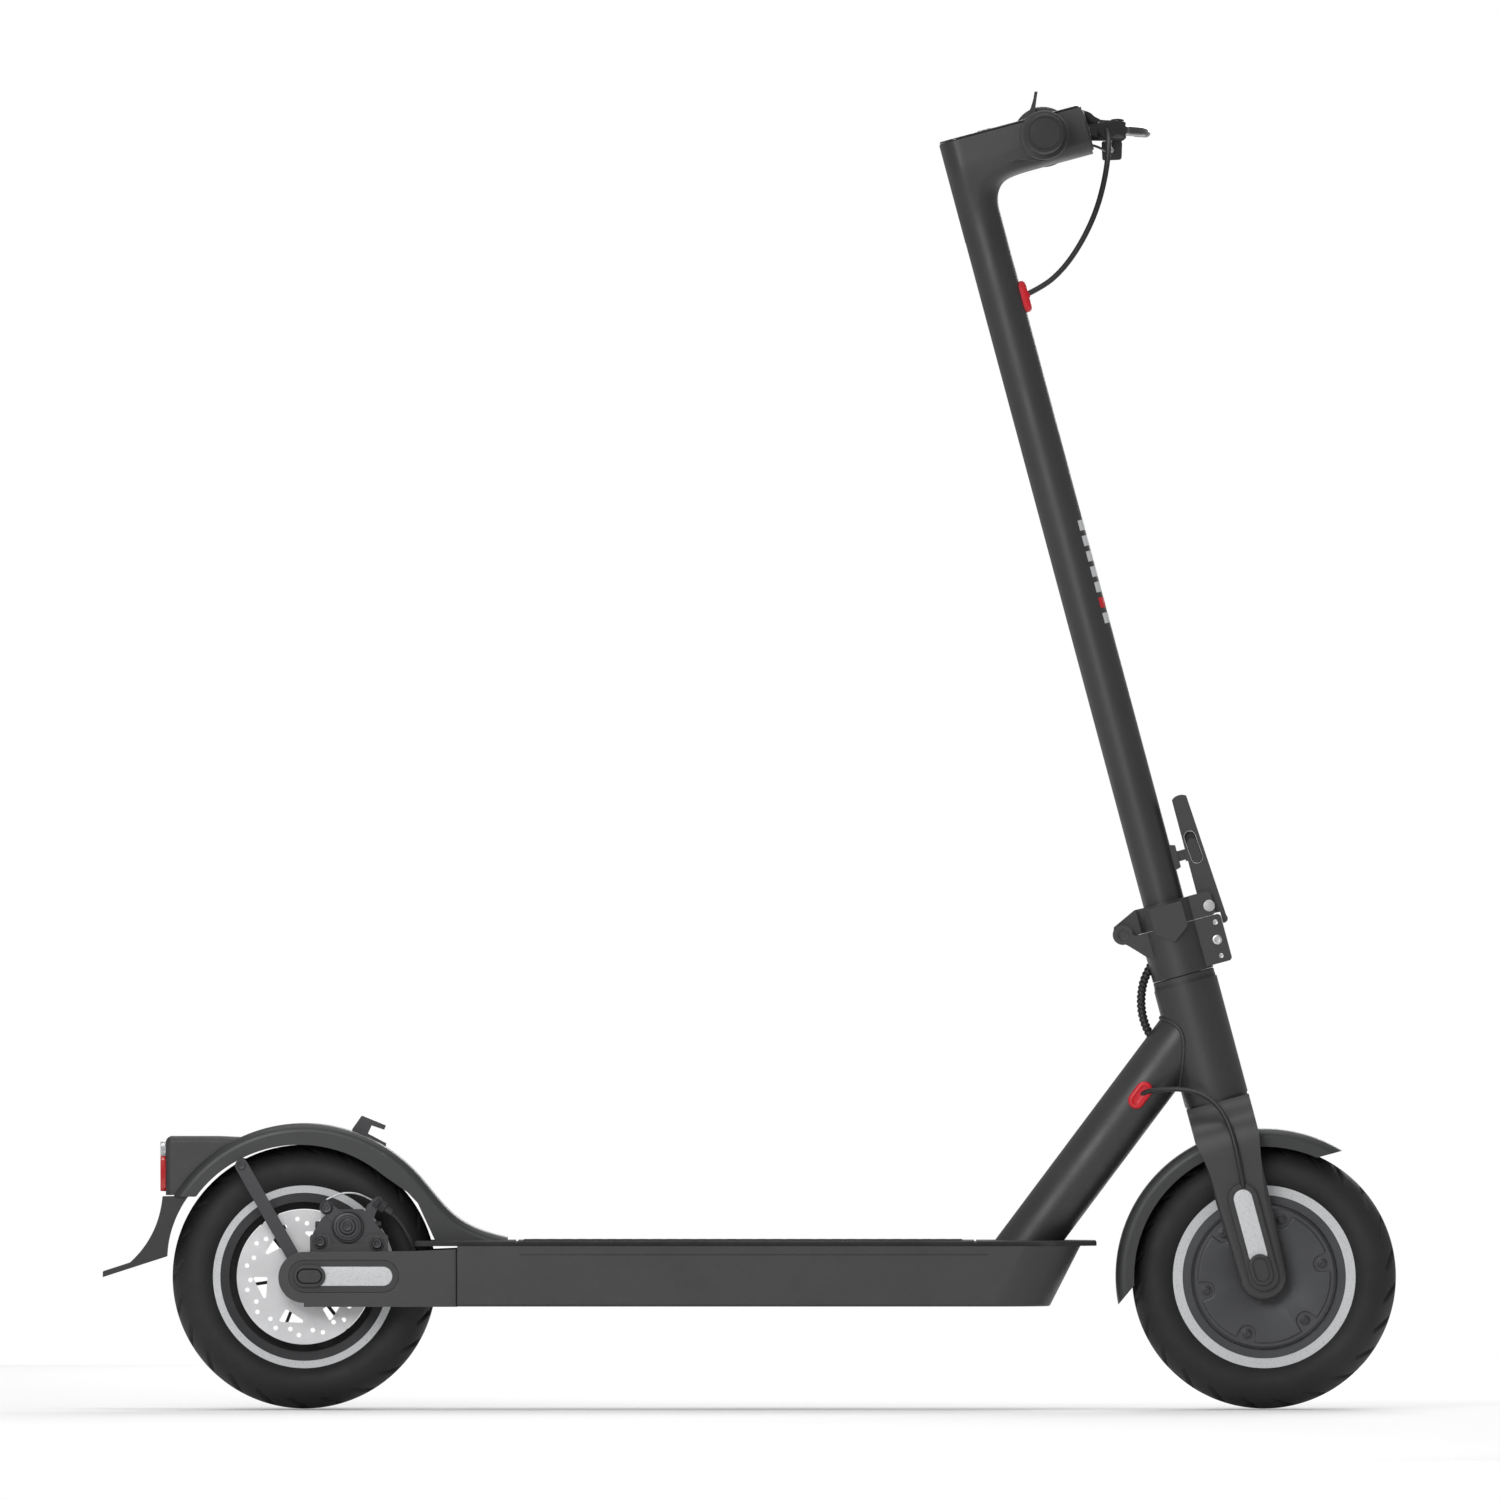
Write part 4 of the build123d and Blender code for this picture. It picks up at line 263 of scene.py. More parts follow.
nodeFinish = {
    "framePaint": ["frame_tubes", "rear_arms", "fork", "fold_block", "fold_collar", "stem_tube", "stem_head",
                   "headset_bearings", "handlebar", "fold_lever", "kickstand", "kickstand_bracket"],
    "deckPaint": ["deck_shell", "deck_bottom"],
    "castPaint": ["brake_lever", "tail_lamp_housing"],
    "plastic": ["arm_covers", "fork_covers", "charge_port", "throttle_housing", "throttle_paddle", "bell_body",
                "bell_lever", "lock_slider", "mode_button"],
    "fenderPlastic": ["rear_fender", "front_fender"],
    "tyre": ["front_tyre", "rear_tyre"],
    "grip": ["grips"],
    "mat": ["deck_mat"],
    "cable": ["head_cables", "rear_brake_cable", "upper_brake_cable", "splash_flap", "charge_cap"],
    "red": ["cable_grommet", "stem_grommet"],
    "gloss": ["display_cover", "brake_perch"],
    "blackOxide": ["caliper_hardware", "caliper_body", "caliper_arm", "moving_pad", "fender_brackets", "controller"],
    "battery": ["battery_pack"],
    "motor": ["hub_motor", "hub_covers"],
    "rim": ["rear_rim"],
    "disc": ["brake_rotor"],
    "steel": ["rear_axle", "front_axle", "fold_hardware", "front_bearings", "rear_bearings"],
    "film": ["front_tyre_rings", "rear_tyre_rings"],
    "redLens": ["tail_lens"],
    "clearLens": ["headlight_lens"],
}
for look, nodeNames in nodeFinish.items():
    for nodeName in nodeNames:
        mesh = frame["nodes"][nodeName].data
        mesh.materials.clear()
        mesh.materials.append(finish[look])
print("finishes on", sum(len(v) for v in nodeFinish.values()), "CAD nodes")

# mesh helpers
def sideMatrix(x, y, z, turn=0.0):  # local x forward, local y up, local z out of the scooter's side
    out = -1.0 if y < 0 else 1.0
    base = Matrix(((-out, 0, 0), (0, 0, out), (0, 1, 0))).to_4x4()
    return Matrix.Translation((x, y, z)) @ base @ Matrix.Rotation(turn, 4, "Z")


def steerMatrix(n, s, y):  # local x ahead of the steering axis, local y up it, local z outwards
    out = -1.0 if y < 0 else 1.0
    base = Matrix((steerFore * -out, steerUp, leftward * out)).transposed().to_4x4()
    return Matrix.Translation(onSteer(n, s, y)) @ base


def axisMatrix(at, along):  # local z along a direction
    return Matrix.Translation(at) @ Vector(along).to_track_quat("Z", "Y").to_matrix().to_4x4()


def circle(radius, steps=48, start=0.0):
    return [(radius * math.cos(start + math.tau * k / steps), radius * math.sin(start + math.tau * k / steps))
            for k in range(steps)]


def oval(length, width, steps=48):  # a slot outline, long along local y
    radius, straight = width / 2, (length - width) / 2
    points = []
    for x, y in circle(radius, steps, math.pi / steps):
        points.append((x, y + (straight if y > 0 else -straight)))
    return points


def hexagon(radius, steps=48):
    points = []
    for x, y in circle(1.0, steps):
        turn = math.atan2(y, x) % (math.pi / 3) - math.pi / 6
        reach = radius * math.cos(math.pi / 6) / math.cos(turn)
        points.append((x * reach, y * reach))
    return points


def loft(bm, rings, matrix, capStart=True, capEnd=True, closed=False):
    rows = []
    for outline, height in rings:
        rows.append([bm.verts.new(matrix @ Vector((x, y, height))) for x, y in outline])
    pairs = list(zip(rows, rows[1:])) + ([(rows[-1], rows[0])] if closed else [])
    for low, high in pairs:
        for k in range(len(low)):
            after = (k + 1) % len(low)
            bm.faces.new((low[k], low[after], high[after], high[k]))
    if capStart and not closed:
        bm.faces.new(list(reversed(rows[0])))
    if capEnd and not closed:
        bm.faces.new(rows[-1])


def pillow(outlineOf, height, edge, low=0.0):  # a slab whose top edge is rounded: rings for loft
    rings = [(outlineOf(0.0), low)]
    for k in range(5):
        turn = math.pi / 2 * k / 4
        rings.append((outlineOf(edge * (1 - math.cos(turn))), height - edge + edge * math.sin(turn)))
    return rings


def prism(bm, outline, low, high, matrix, edge=0.0, segments=2):
    start = len(bm.verts)
    bm.verts.ensure_lookup_table()
    floorRow = [bm.verts.new(matrix @ Vector((x, y, low))) for x, y in outline]
    topRow = [bm.verts.new(matrix @ Vector((x, y, high))) for x, y in outline]
    faces = [bm.faces.new(list(reversed(floorRow))), bm.faces.new(topRow)]
    for k in range(len(outline)):
        after = (k + 1) % len(outline)
        bm.faces.new((floorRow[k], floorRow[after], topRow[after], topRow[k]))
    if edge:
        rim = [e for face in faces for e in face.edges]
        bmesh.ops.bevel(bm, geom=rim, offset=edge, segments=segments, profile=0.5, affect="EDGES")
    return start


def rounded(corners, radius, steps=5):  # a polygon with its corners turned into arcs
    points = []
    for k, corner in enumerate(corners):
        here = Vector(corner)
        back = (Vector(corners[k - 1]) - here)
        on = (Vector(corners[(k + 1) % len(corners)]) - here)
        reach = min(radius, back.length * 0.45, on.length * 0.45)
        first, last = here + back.normalized() * reach, here + on.normalized() * reach
        for i in range(steps + 1):
            t = i / steps
            points.append(tuple(first * (1 - t) ** 2 + here * 2 * t * (1 - t) + last * t ** 2))
    return points


def screwHead(bm, matrix, radius, height, socket, kind="hex"):
    recess = hexagon(socket) if kind == "hex" else circle(socket)
    dome = [(circle(radius), 0.0), (circle(radius), height * 0.45), (circle(radius * 0.93), height * 0.8),
            (circle(radius * 0.78), height), (circle(socket * 1.12), height)]
    loft(bm, dome + [(recess, height * 0.94), (recess, height * 0.25)], matrix)


def addPiece(name, bm, look, body, smooth=40.0):
    bmesh.ops.remove_doubles(bm, verts=bm.verts, dist=1e-6)
    bmesh.ops.recalc_face_normals(bm, faces=bm.faces)
    mesh = bpy.data.meshes.new(name)
    bm.to_mesh(mesh)
    bm.free()
    mesh.materials.append(finish[look])
    mesh.shade_smooth()
    mesh.set_sharp_from_angle(angle=math.radians(smooth))
    piece = bpy.data.objects.new(name, mesh)
    bpy.context.scene.collection.objects.link(piece)
    if body:
        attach(piece, body)
    return piece


# tyres: rounded carcass, slanted shoulder sipes, a groove round the crown
tyreShape = {"radius": 0.110, "half": 0.025, "shoulderY": 0.0155, "shoulderR": 0.1054, "ringR": 0.0761,
             "beadHalf": 0.020, "beadR": 0.068, "sipes": 24, "sipeStart": 2.9, "sipeSlant": 9.3,
             "sipeFoot": 0.1016, "sipeWidth": 3.2, "sipeDepth": 0.0036, "crownGroove": 0.0017,
             "crownGrooveY": 0.0016, "innerEndY": 0.0060, "steps": 864}


def arcThrough(a, b, c, steps):
    ax, ay, bx, by, cx, cy = *a, *b, *c
    d = 2 * (ax * (by - cy) + bx * (cy - ay) + cx * (ay - by))
    ux = ((ax**2 + ay**2) * (by - cy) + (bx**2 + by**2) * (cy - ay) + (cx**2 + cy**2) * (ay - by)) / d
    uy = ((ax**2 + ay**2) * (cx - bx) + (bx**2 + by**2) * (ax - cx) + (cx**2 + cy**2) * (bx - ax)) / d
    radius = math.hypot(ax - ux, ay - uy)
    turn = [math.atan2(p[1] - uy, p[0] - ux) for p in (a, b, c)]
    while turn[1] - turn[0] > math.pi:
        turn[1] -= math.tau
    while turn[1] - turn[0] < -math.pi:
        turn[1] += math.tau
    while turn[2] - turn[1] > math.pi:
        turn[2] -= math.tau
    while turn[2] - turn[1] < -math.pi:
        turn[2] += math.tau
    return [(ux + radius * math.cos(turn[0] + (turn[2] - turn[0]) * k / steps),
             uy + radius * math.sin(turn[0] + (turn[2] - turn[0]) * k / steps)) for k in range(steps + 1)]


def tyreProfile(shape, beadR):
    half = shape["half"]
    belly = (shape["ringR"] + shape["shoulderR"]) / 2
    left = arcThrough((-shape["beadHalf"], shape["ringR"]), (-half, belly),
                      (-shape["shoulderY"], shape["shoulderR"]), 22)
    crown = arcThrough((-shape["shoulderY"], shape["shoulderR"]), (0, shape["radius"]),
                       (shape["shoulderY"], shape["shoulderR"]), 34)
    right = [(-y, r) for y, r in reversed(left)]
    inner = [(shape["beadHalf"], beadR), (shape["beadHalf"] - 0.009, beadR), (0, beadR + 0.004),
             (-shape["beadHalf"] + 0.009, beadR), (-shape["beadHalf"], beadR)]
    return left + crown[1:-1] + right + inner


def softStep(value, low, high):
    t = min(max((value - low) / (high - low), 0.0), 1.0)
    return t * t * (3 - 2 * t)


def sipeDepth(shape, degrees, y, r):
    if r < shape["sipeFoot"] or abs(y) < shape["innerEndY"] - 0.001:
        return 0.0
    along = (r - shape["sipeFoot"]) / (shape["radius"] - shape["sipeFoot"])
    pitch = 360.0 / shape["sipes"]
    centre = shape["sipeStart"] + shape["sipeSlant"] * along + (pitch / 2 if y > 0 else 0)
    off = (degrees - centre + pitch / 2) % pitch - pitch / 2
    width = shape["sipeWidth"] * (0.55 + 0.45 * min(along * 2, 1))
    across = 1 - softStep(abs(off), width * 0.3, width * 0.62)
    ends = softStep(r, shape["sipeFoot"], shape["sipeFoot"] + 0.0012)
    ends *= softStep(abs(y), shape["innerEndY"] - 0.0006, shape["innerEndY"] + 0.0006)
    return shape["sipeDepth"] * across * ends


def buildTyre(name, axle, beadR, body, node, start):
    shape = dict(tyreShape, sipeStart=start)
    profile = tyreProfile(shape, beadR)
    bm = bmesh.new()
    rows = []
    for k in range(shape["steps"]):
        degrees = 360.0 * k / shape["steps"]
        turn = math.radians(degrees)
        row = []
        for y, r in profile:
            cut = sipeDepth(shape, degrees, y, r)
            if r > shape["shoulderR"]:
                cut = max(cut, shape["crownGroove"] * (1 - softStep(abs(y), shape["crownGrooveY"] * 0.6,
                                                                   shape["crownGrooveY"] * 1.2)))
            row.append(bm.verts.new((axle.x + (r - cut) * math.cos(turn), y,
                                     axle.z + (r - cut) * math.sin(turn))))
        rows.append(row)
    for k, row in enumerate(rows):
        after = rows[(k + 1) % len(rows)]
        for i in range(len(profile)):
            j = (i + 1) % len(profile)
            bm.faces.new((row[i], row[j], after[j], after[i]))
    tyre = addPiece(name, bm, "tyre", body, 50)
    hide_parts(node)
    return tyre


buildTyre("frontTyreTread", frontAxle, 0.068, "front_wheel", "front_tyre", 2.9)
buildTyre("rearTyreTread", rearAxle, 0.0702, "rear_wheel", "rear_tyre", 7.0)
print("tyres treaded")

# hub motor covers with notched edges and button screws
hubShape = {"radius": 0.0551, "face": 0.0260, "thick": 0.0022, "screwCircle": 0.0495, "notchR": 0.0072,
            "screws": 6, "phase": 13.3, "bossR": 0.0047, "screwR": 0.0031, "steps": 1080, "bore": 0.0106}


def coverRadius(shape, degrees, inset):
    pitch = 360.0 / shape["screws"]
    off = math.radians((degrees - shape["phase"] + pitch / 2) % pitch - pitch / 2)
    side = shape["screwCircle"] * math.sin(off)
    notch = shape["notchR"] + inset
    if abs(side) < notch:
        return shape["screwCircle"] * math.cos(off) - math.sqrt(notch**2 - side**2) * 0.98
    return shape["radius"] - inset


for out, tag in ((-1, "Right"), (1, "Left")):
    shape = hubShape
    face = shape["face"] * out
    bm = bmesh.new()
    rings = []
    for inset, height in ((0.0, 0.0), (0.0, 0.0015), (0.0003, 0.0020), (0.0008, 0.0022), (0.0011, 0.0022)):
        outline = []
        for k in range(shape["steps"]):
            degrees = 360.0 * k / shape["steps"]
            r = coverRadius(shape, degrees, inset)
            outline.append((r * math.cos(math.radians(degrees)), r * math.sin(math.radians(degrees))))
        rings.append((outline, height))
    rings.append((circle(shape["bore"] + 0.0004, shape["steps"]), 0.0022))
    rings.append((circle(shape["bore"], shape["steps"]), 0.0021))
    rings.append((circle(shape["bore"], shape["steps"]), 0.0))
    mirrorTurn = Matrix.Identity(4) if out < 0 else Matrix.Scale(-1, 4, (1, 0, 0))
    loft(bm, rings, sideMatrix(frontAxle.x, face, frontAxle.z) @ mirrorTurn, closed=True)
    cover = addPiece("hubCover" + tag, bm, "motor", "front_wheel", 35)
    bm = bmesh.new()
    for k in range(shape["screws"]):
        turn = math.radians(shape["phase"] + 360.0 / shape["screws"] * k)
        at = (frontAxle.x + shape["screwCircle"] * math.cos(turn), face,
              frontAxle.z + shape["screwCircle"] * math.sin(turn))
        place = sideMatrix(*at)
        loft(bm, [(circle(shape["bossR"]), -0.0003), (circle(shape["bossR"]), 0.0002),
                  (circle(shape["bossR"] - 0.0004), 0.0004), (circle(0.0034), 0.0004)], place)
        screwHead(bm, place @ Matrix.Translation((0, 0, 0.0003)), shape["screwR"], 0.0011, 0.0012)
    screws = addPiece("hubScrews" + tag, bm, "blackOxide", "front_wheel", 35)
    if out < 0:
        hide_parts("hub_covers")
print("hub covers screwed on")

# pale reflective panels and the oval caps on the rear arms and fork legs
panelShape = {"armY": 0.0675, "armX": (-0.3640, -0.2974), "armZ": 0.1110, "armH": 0.0160, "capX": -0.3664,
              "capL": 0.0268, "capH": 0.0187, "legY": 0.0570, "legS": (0.0120, 0.0754), "legN": -0.0005,
              "legW": 0.0156, "film": 0.0006}


def stadium(low, high, across, steps=48):
    middle, length = (low + high) / 2, high - low
    return lambda inset: [(x, y + middle) for x, y in oval(length - 2 * inset, across - 2 * inset, steps)]


for out, tag in ((-1, "Right"), (1, "Left")):
    shape = panelShape
    quarter = Matrix.Rotation(math.pi / 2 * out, 4, "Z")
    bm = bmesh.new()
    place = sideMatrix(0, out * (shape["armY"] - 0.0004 + 0.0021), shape["armZ"]) @ quarter
    loft(bm, pillow(stadium(*shape["armX"], shape["armH"]), shape["film"], 0.0003), place)
    addPiece("armReflector" + tag, bm, "film", "frame", 30)
    bm = bmesh.new()
    place = sideMatrix(shape["capX"], out * 0.0700, shape["armZ"]) @ quarter
    cap = stadium(-shape["capL"] / 2, shape["capL"] / 2, shape["capH"])
    inner = stadium(-0.01035, 0.01035, 0.0122)
    rings = pillow(cap, 0.0024, 0.0008)
    rings += [(inner(-0.0006), 0.0024), (inner(0.0), 0.0018), (inner(0.0005), 0.0018), (inner(0.0009), 0.0022)]
    loft(bm, rings, place)
    addPiece("armCap" + tag, bm, "plastic", "frame", 30)
    bm = bmesh.new()
    place = steerMatrix(shape["legN"], 0, out * shape["legY"])
    loft(bm, pillow(stadium(*shape["legS"], shape["legW"]), shape["film"], 0.0003), place)
    addPiece("legReflector" + tag, bm, "film", "fork", 30)
    bm = bmesh.new()
    place = steerMatrix(-0.0011, 0.0067, out * 0.0567)
    cap = stadium(-0.01335, 0.01335, 0.0180)
    inner = stadium(-0.0100, 0.0100, 0.0120)
    rings = pillow(cap, 0.0032, 0.0008)
    rings += [(inner(-0.0006), 0.0032), (inner(0.0), 0.0026), (inner(0.0005), 0.0026), (inner(0.0009), 0.0030)]
    loft(bm, rings, place)
    addPiece("legCap" + tag, bm, "plastic", "fork", 30)
print("reflective panels and caps on")

# cables
def metres(route):
    return [tuple(c / 1000 for c in point) for point in route]


def routeCurve(name, route, radius):  # a smooth line that the route's points steer
    curve = bpy.data.curves.new(name, "CURVE")
    curve.dimensions = "3D"
    curve.bevel_depth = radius
    curve.bevel_resolution = 6
    curve.resolution_u = 12
    curve.use_fill_caps = True
    spline = curve.splines.new("NURBS")
    spline.points.add(len(route) - 1)
    for point, at in zip(spline.points, route):
        point.co = (*at, 1)
    spline.order_u = 3
    spline.use_endpoint_u = True
    cable = bpy.data.objects.new(name, curve)
    bpy.context.scene.collection.objects.link(cable)
    return cable


def centreLine(name, route):  # points of that smooth line
    guide = routeCurve(name + "Guide", route, 0.0)
    guide.data.use_fill_caps = False
    bpy.context.view_layer.update()
    line = bpy.data.meshes.new_from_object(guide)
    points = [v.co.copy() for v in line.vertices]
    bpy.data.objects.remove(guide)
    bpy.data.meshes.remove(line)
    return points


def lengthOf(points):
    return sum((Vector(b) - Vector(a)).length for a, b in zip(points, points[1:]))


def alongLine(points, step):  # the same line, cut into even steps
    total = lengthOf(points)
    count = max(2, round(total / step))
    wanted = [total * k / count for k in range(count + 1)]
    found, walked, i = [], 0.0, 0
    for distance in wanted:
        while i < len(points) - 2 and walked + (points[i + 1] - points[i]).length < distance:
            walked += (points[i + 1] - points[i]).length
            i += 1
        run = points[i + 1] - points[i]
        found.append(points[i] + run * min(max((distance - walked) / run.length, 0.0), 1.0))
    return found


def tubeMesh(bm, points, radiusAt, sides=20):
    up = Vector((0.02, 1.0, 0.03)).normalized()
    rows, walked = [], 0.0
    for k, point in enumerate(points):
        ahead = (points[min(k + 1, len(points) - 1)] - points[max(k - 1, 0)]).normalized()
        across = (up - ahead * up.dot(ahead)).normalized()
        other = ahead.cross(across)
        if k:
            walked += (point - points[k - 1]).length
        row = []
        for i in range(sides):
            turn = math.tau * i / sides
            reach = radiusAt(walked, turn)
            row.append(bm.verts.new(point + (across * math.cos(turn) + other * math.sin(turn)) * reach))
        rows.append(row)
    for low, high in zip(rows, rows[1:]):
        for i in range(sides):
            j = (i + 1) % sides
            bm.faces.new((low[i], low[j], high[j], high[i]))
    bm.faces.new(list(reversed(rows[0])))
    bm.faces.new(rows[-1])


cableShape = {
    "upper": {"diameter": 0.0046, "route": metres([
        (298.4, 64.0, 1066.5), (299.1, 47.0, 1062.0), (299.4, 33.0, 1051.0), (297.9, 23.5, 1036.5),
        (294.9, 17.5, 1020.0), (289.9, 13.0, 1001.5), (282.1, 9.0, 982.6), (271.8, 6.0, 964.2),
        (260.0, 3.2, 948.4), (245.6, 1.2, 935.6), (229.0, 0.0, 927.6)])},
    "rear": {"diameter": 0.0046, "route": metres([
        (-306.2, -48.0, 169.0), (-297.0, -47.0, 162.6), (-289.5, -45.0, 153.6), (-283.4, -43.4, 142.8),
        (-278.6, -42.2, 131.4), (-270.4, -41.2, 121.0), (-259.6, -40.6, 113.2), (-248.0, -40.3, 109.0),
        (-237.0, -40.2, 107.4)])},
    "wire": {"diameter": 0.0016, "route": metres([
        (-352.3, -55.6, 174.6), (-343.5, -54.4, 179.2), (-332.2, -52.6, 180.6), (-321.4, -50.6, 178.2),
        (-311.4, -48.6, 172.4)])},
    "motor": {"diameter": 0.0042, "route": metres([
        (320.0, -19.5, 258.5), (329.5, -25.4, 264.6), (343.0, -31.0, 266.2), (357.5, -34.6, 266.6),
        (371.0, -37.6, 264.8), (382.6, -41.4, 259.4), (391.6, -45.8, 250.4), (398.4, -50.4, 238.6),
        (403.4, -54.2, 223.3), (406.6, -56.0, 208.0), (408.8, -55.4, 196.0), (411.0, -54.8, 184.6)])},
    "loom": {"diameter": 0.0075, "bead": 0.0038, "route": metres([
        (337.4, 0.0, 374.0), (329.6, 0.0, 361.6), (326.0, 0.0, 346.0), (326.4, 0.0, 330.0),
        (331.0, 0.0, 315.0), (338.0, 0.0, 304.0)])},
}


def fixedCable(name, shape, body):
    cable = routeCurve(name, shape["route"], shape["diameter"] / 2)
    cable.data.materials.append(finish["cable"])
    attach(cable, body)
    lengthOf(centreLine(name, shape["route"]))
    return cable


def bendingCable(name, shape, radiusAt, step, look="cable"):
    path = alongLine(centreLine(name, shape["route"]), step)
    bm = bmesh.new()
    tubeMesh(bm, path, radiusAt)
    cable = addPiece(name, bm, look, None, 60)
    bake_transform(cable)
    return cable


upperCable = fixedCable("upperBrakeCable", cableShape["upper"], "stem")
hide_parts("upper_brake_cable")
rearHousing = fixedCable("rearBrakeHousing", cableShape["rear"], "frame")
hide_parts("rear_brake_cable")

wire = dict(cableShape["wire"], bodies=("caliper_arm", "frame"))


def strandRadius(walked, turn):  # six strands twisted together
    return wire["diameter"] / 2 * (1 + 0.06 * math.cos(6 * (turn - walked * 900)))


bendingCable("rearBrakeWire", wire, strandRadius, 0.0006, "steel")
motor = dict(cableShape["motor"], bodies=("frame", "fork"))
motorCable = bendingCable("motorCable", motor, lambda walked, turn: motor["diameter"] / 2, 0.002)
loom = dict(cableShape["loom"], bodies=("fork", "frame"))


def beadRadius(walked, turn):  # a wrapped band: beads that climb as they go round
    phase = (walked / loom["bead"] + turn / math.tau) % 1.0
    return loom["diameter"] / 2 * (0.62 + 0.38 * math.sqrt(max(0.0, 1 - (2 * phase - 1) ** 2)))


bendingCable("spiralLoom", loom, beadRadius, 0.0005)
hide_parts("head_cables")
print("cables routed")

# stem head: the round tube swells into a flat-sided box
headShape = {"rearN": -0.0175, "frontN": 0.1047, "topS": 0.9810, "lowS": 0.896, "half": 0.0220,
             "tubeR": 0.0173, "rearEdge": 0.0150, "lowEdge": 0.0120, "sections": 110, "across": 30,
             "corner": 0.47, "inner": [(0.0173, 0.896), (0.0173, 0.908), (0.0173, 0.920), (0.0195, 0.9300),
                                       (0.0265, 0.9380), (0.0390, 0.9402), (0.0560, 0.9405), (0.0800, 0.9405),
                                       (0.1047, 0.9405)]}


def roundOff(distance, radius):
    t = min(max(distance / radius, 0.0), 1.0)
    return math.sqrt(t * (2 - t))


def buildStemHead(shape):
    guide = centreLine("headUnderside", [(n, 0.0, s) for n, s in shape["inner"]])
    inner = alongLine(guide, lengthOf(guide) / shape["sections"])
    bm = bmesh.new()
    rows = {-1: [], 1: []}
    for k, low in enumerate(inner):
        t = k / (len(inner) - 1)
        if t < shape["corner"]:
            part = t / shape["corner"]
            high = Vector((shape["rearN"], 0, shape["lowS"] + (shape["topS"] - shape["lowS"]) * part))
        else:
            part = (t - shape["corner"]) / (1 - shape["corner"])
            high = Vector((shape["rearN"] + (shape["frontN"] - shape["rearN"]) * part, 0, shape["topS"]))
        for side in (-1, 1):
            row = []
            for i in range(shape["across"] + 1):
                b = 0.5 - 0.5 * math.cos(math.pi * i / shape["across"])
                n, s = high.x + (low.x - high.x) * b, high.z + (low.z - high.z) * b
                box = softStep(s, 0.906, 0.962)
                boxRear = shape["tubeR"] + (shape["rearEdge"] - shape["tubeR"]) * box
                boxLow = shape["tubeR"] + (shape["lowEdge"] - shape["tubeR"]) * softStep(t, 0.2, 0.6)
                wide = shape["tubeR"] + (shape["half"] - shape["tubeR"]) * max(box, softStep(n, 0.02, 0.07))
                y = wide * roundOff(n - shape["rearN"], boxRear) * roundOff((low - high).length * (1 - b), boxLow)
                row.append(bm.verts.new(onSteer(n, s, side * y)))
            rows[side].append(row)
    for side in (-1, 1):
        for low, high in zip(rows[side], rows[side][1:]):
            for i in range(shape["across"]):
                bm.faces.new((low[i], low[i + 1], high[i + 1], high[i]))
    for k in range(len(inner) - 1):
        bm.faces.new((rows[-1][k][0], rows[1][k][0], rows[1][k + 1][0], rows[-1][k + 1][0]))
    bm.faces.new(rows[-1][-1] + list(reversed(rows[1][-1])))
    bm.faces.new(rows[1][0] + list(reversed(rows[-1][0])))
    bmesh.ops.remove_doubles(bm, verts=bm.verts, dist=1e-5)
    bmesh.ops.dissolve_degenerate(bm, dist=1e-6, edges=bm.edges)
    head = addPiece("stemHeadShell", bm, "framePaint", "stem", 38)
    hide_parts("stem_head")


buildStemHead(headShape)

lampShape = {"n": 0.1047, "s": 0.9605, "lens": 0.0142, "bezel": 0.0168, "proud": 0.0016}
place = axisMatrix(onSteer(lampShape["n"], lampShape["s"]), steerFore)
bm = bmesh.new()
loft(bm, [(circle(lampShape["bezel"], 64), -0.001), (circle(lampShape["bezel"], 64), 0.0010),
          (circle(lampShape["bezel"] - 0.0005, 64), 0.0016), (circle(lampShape["lens"] + 0.0004, 64), 0.0016),
          (circle(lampShape["lens"] + 0.0004, 64), -0.001)], place, closed=True)
addPiece("headlightBezel", bm, "plastic", "stem", 30)
bm = bmesh.new()
dish = [(circle(0.0141, 64), -0.0008)]
for k in range(7):
    r = 0.0138 - 0.0019 * k
    dish += [(circle(r, 64), 0.0002 + 0.0001 * k), (circle(r - 0.0004, 64), -0.0001)]
loft(bm, dish, place)
addPiece("headlightReflector", bm, "disc", "stem", 20)
bm = bmesh.new()
dome = [(circle(0.0143, 64), 0.0004)]
for k in range(6):
    turn = math.pi / 2 * k / 6
    dome.append((circle(0.0143 * math.cos(turn), 64), 0.0008 + 0.0012 * math.sin(turn)))
loft(bm, dome, place)
lensPiece = addPiece("headlightCover", bm, "clearLens", "stem", 30)
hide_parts("headlight_lens")
print("stem head and headlight shaped")

# folding joint: screws, hinge pin, lever pin, pocket behind the lock slider
foldShape = {"screws": [(0.0372, 0.2958, 0.0024, 0.0011), (0.0350, 0.2814, 0.0042, 0.0019),
                        (0.0348, 0.2676, 0.0022, 0.0010)], "cheek": 0.0160, "hinge": (-0.0400, 0.3054),
             "leverPin": (0.0356, 0.3105), "pocket": (0.0358, 0.3610), "pocketTurn": 4.0}
bm = bmesh.new()
for out in (-1, 1):
    for n, s, radius, socket in foldShape["screws"]:
        screwHead(bm, steerMatrix(n, s, out * foldShape["cheek"]), radius, 0.0012, socket)
foldScrews = addPiece("foldScrews", bm, "steel", "fork", 30)
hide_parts("fold_hardware")
bm = bmesh.new()
place = steerMatrix(*foldShape["hinge"], -0.0172)
pin = [(circle(0.0030), -0.0003), (circle(0.0034), 0.0), (circle(0.0038), 0.0002), (circle(0.0044), 0.0002),
       (circle(0.0046), -0.0003), (circle(0.0046), -0.0341), (circle(0.0042), -0.0346)]
loft(bm, list(reversed(pin)), place)
